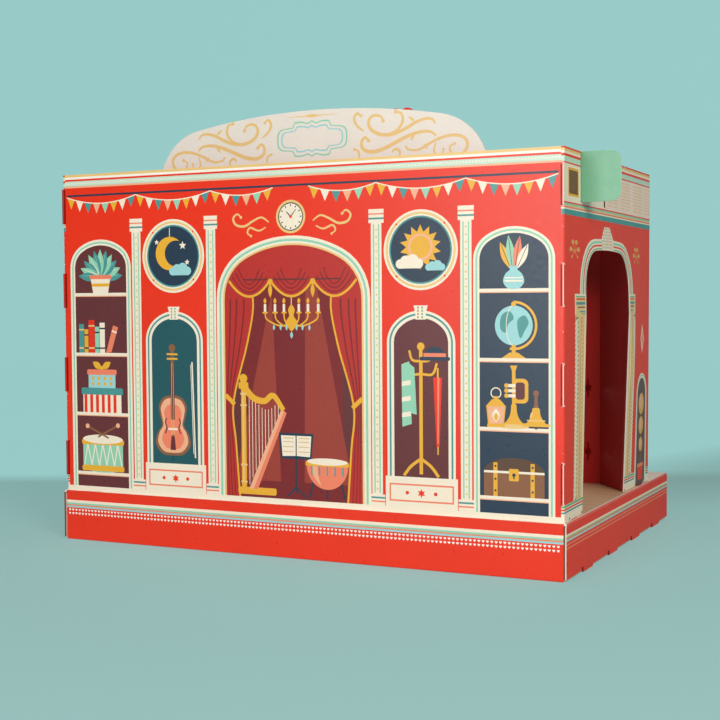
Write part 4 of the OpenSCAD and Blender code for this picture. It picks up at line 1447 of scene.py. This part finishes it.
class THEATRE_OT_stage(TheatreStep, Operator):
    """Lays the pale floor, hangs the lamps and sets the camera"""

    bl_idname = "theatre.stage"
    bl_label = "Studio"

    def execute(self, context):
        scene, settings = context.scene, context.scene.theatre_stage
        scene.view_settings.view_transform = "Standard"
        floor = self.sweep(settings)
        self.lamp("key_lamp", (-0.05, -2.1, 0.62), (0.0, -0.1, 0.15), 1.2, settings.key_power)
        warm = (1.0, 0.92, 0.85)
        self.lamp("side_lamp", (1.65, -1.45, 0.95), (0.2, 0.0, 0.15), 0.8, settings.side_power, warm)
        front = self.lamp("front_lamp", (-1.6, 1.35, 0.6), (0.0, 0.05, 0.15), 1.0, settings.front_power)
        self.spare(front, floor)
        world = bpy.data.worlds.new("room")
        scene.world = world
        world.use_nodes = True
        sky = world.node_tree.nodes["Background"]
        sky.inputs["Color"].default_value = (*srgb(240, 240, 238), 1)
        sky.inputs["Strength"].default_value = settings.sky
        self.camera(scene, settings.lens)
        return {"FINISHED"}

    def sweep(self, settings):
        """Floor that bends up into a backdrop: a level run, a quarter circle of radius r and a rise,
        carried straight along the width, with the far rim lifted a little."""
        r, start, rise, rim = 0.5, 1.7, 4.5, 2.0
        far, near = settings.floor_size / 2, settings.floor_size / 6
        t = np.linspace(0, np.pi / 2, 24)
        y = np.concatenate([[-far, -near], start + r * np.sin(t), [start + r]])
        z = np.concatenate([[rim, 0.0], r - r * np.cos(t), [rise]])
        rows = np.stack([y, z], 1)
        columns = ((-far, rim), (-near, 0.0), (near, 0.0), (far, rim))
        co = np.concatenate([np.insert(rows + [0.0, lift], 0, x, axis=1) for x, lift in columns])
        i = np.arange(len(co) - len(rows)).reshape(-1, len(rows))[:, :-1].ravel()
        faces = np.stack([i, i + len(rows), i + len(rows) + 1, i + 1], 1)
        mesh = bpy.data.meshes.new("studio_floor")
        mesh.from_pydata(co.tolist(), [], faces.tolist())
        mesh.shade_smooth()
        mesh.materials.append(self.paper(settings))
        floor = bpy.data.objects.new("studio_floor", mesh)
        bpy.context.scene.collection.objects.link(floor)
        return floor

    def paper(self, settings):
        """Paper of the floor. What is seen or mirrored of it takes on the backdrop's tone, by a share that is
        larger past a line behind the object and far out in front, and smaller close to the right. Its light on
        the object comes from the paper alone."""
        material, tree, shader = new_material("studio_paper")
        coords = add_node(tree, "TexCoord")
        place = coords.outputs["Object"]
        tint = between(tree, noise(tree, coords, 3.0), settings.paper, [1.05 * c for c in settings.paper])
        tree.links.new(tint, shader.inputs["Base Color"])
        shader.inputs["Roughness"].default_value = 0.9
        shader.inputs["Specular IOR Level"].default_value = 0.1
        behind, aside, along = (
            add_node(tree, "VectorMath", {0: place, 1: way}, operation="DOT_PRODUCT").outputs["Value"]
            for way in ((-0.437, 0.899, 0.0), (1.0, -0.3, 0.0), (0.0, 1.0, 0.0)))
        reach = add_node(tree, "VectorMath", {0: place}, operation="LENGTH").outputs["Value"]
        fade = maths(tree, "MULTIPLY", spread(tree, behind, 0.0, 1.0, 0.1, 0.4),
                     spread(tree, aside, 0.0, 1.0, -0.1, 0.2), spread(tree, reach, 1.0, 0.0, 0.95, 1.5))
        share = maths(tree, "MULTIPLY", spread(tree, behind, 0.5, 0.88, 0.30, 0.37),
                      maths(tree, "SUBTRACT", 1.0, fade))
        ahead = maths(tree, "MULTIPLY", spread(tree, reach, 0.0, 0.94, 1.1, 1.6),
                      spread(tree, along, 1.0, 0.0, -0.5, 0.1))
        rays = add_node(tree, "LightPath").outputs
        seen = maths(tree, "ADD", rays["Is Camera Ray"], rays["Is Glossy Ray"], rays["Is Transmission Ray"])
        factor = maths(tree, "MULTIPLY", seen, maths(tree, "MAXIMUM", share, ahead))
        tone = add_node(tree, "Emission", {"Color": (*settings.backdrop, 1)})
        mix = add_node(tree, "MixShader", {0: factor, 1: shader.outputs["BSDF"], 2: tone.outputs["Emission"]})
        tree.links.new(mix.outputs["Shader"], tree.nodes["Material Output"].inputs["Surface"])
        return material

    def lamp(self, name, place, target, size, power, colour=(1.0, 1.0, 1.0)):
        """Square soft lamp that faces its target."""
        data = bpy.data.lights.new(name, "AREA")
        data.size, data.energy, data.color = size, power, colour
        lamp = bpy.data.objects.new(name, data)
        lamp.location = place
        lamp.rotation_euler = (Vector(target) - Vector(place)).to_track_quat("-Z", "Y").to_euler()
        bpy.context.scene.collection.objects.link(lamp)
        return lamp

    def spare(self, lamp, floor):
        """Keeps a lamp off the floor, so that the object casts no second shadow there."""
        spared = bpy.data.collections.new(lamp.name + "_spares")
        spared.objects.link(floor)
        spared.collection_objects[0].light_linking.link_state = "EXCLUDE"
        lamp.light_linking.receiver_collection = spared

    def camera(self, scene, lens):
        """Camera of the photograph: azimuth, elevation and roll about its own axis."""
        place = (0.4779, -1.0131, 0.1919)
        azimuth, elevation, roll = np.radians((25.934, 2.521, -0.395))
        level = np.cos(elevation)
        back = Vector((np.sin(azimuth) * level, -np.cos(azimuth) * level, np.sin(elevation)))
        right = Vector((0, 0, 1)).cross(back).normalized()
        up = back.cross(right)
        axes = (right * np.cos(roll) + up * np.sin(roll), up * np.cos(roll) - right * np.sin(roll), back)
        data = bpy.data.cameras.new("camera")
        data.lens, data.sensor_width, data.sensor_fit = lens, 36.0, "HORIZONTAL"
        data.clip_start, data.clip_end = 0.05, 200
        camera = bpy.data.objects.new("camera", data)
        camera.matrix_world = Matrix.Translation(place) @ Matrix(axes).transposed().to_4x4()
        scene.collection.objects.link(camera)
        scene.camera = camera


class THEATRE_PT_panel(Panel):
    """Lists the steps and the settings"""

    bl_idname = "THEATRE_PT_panel"
    bl_label = "Toy theatre"
    bl_space_type = "VIEW_3D"
    bl_region_type = "UI"
    bl_category = "Theatre"

    def draw(self, context):
        for step in STEPS:
            self.layout.operator(step.bl_idname)
        for group in (context.scene.theatre_inks, context.scene.theatre_stage):
            column = self.layout.column()
            for name in type(group).__annotations__:
                column.prop(group, name)


STEPS = (THEATRE_OT_tray, THEATRE_OT_deck, THEATRE_OT_backstage, THEATRE_OT_side_walls, THEATRE_OT_facade,
         THEATRE_OT_screen, THEATRE_OT_backdrop, THEATRE_OT_stage)
CLASSES = (TheatreInks, TheatreStage, *STEPS, THEATRE_PT_panel)


def register():
    for cls in CLASSES:
        bpy.utils.register_class(cls)
    bpy.types.Scene.theatre_inks = PointerProperty(type=TheatreInks)
    bpy.types.Scene.theatre_stage = PointerProperty(type=TheatreStage)


def unregister():
    del bpy.types.Scene.theatre_stage, bpy.types.Scene.theatre_inks
    for cls in reversed(CLASSES):
        bpy.utils.unregister_class(cls)


def main():
    register()
    for step in STEPS:
        area, _, name = step.bl_idname.partition(".")
        getattr(getattr(bpy.ops, area), name)()


if __name__ == "__main__":
    main()
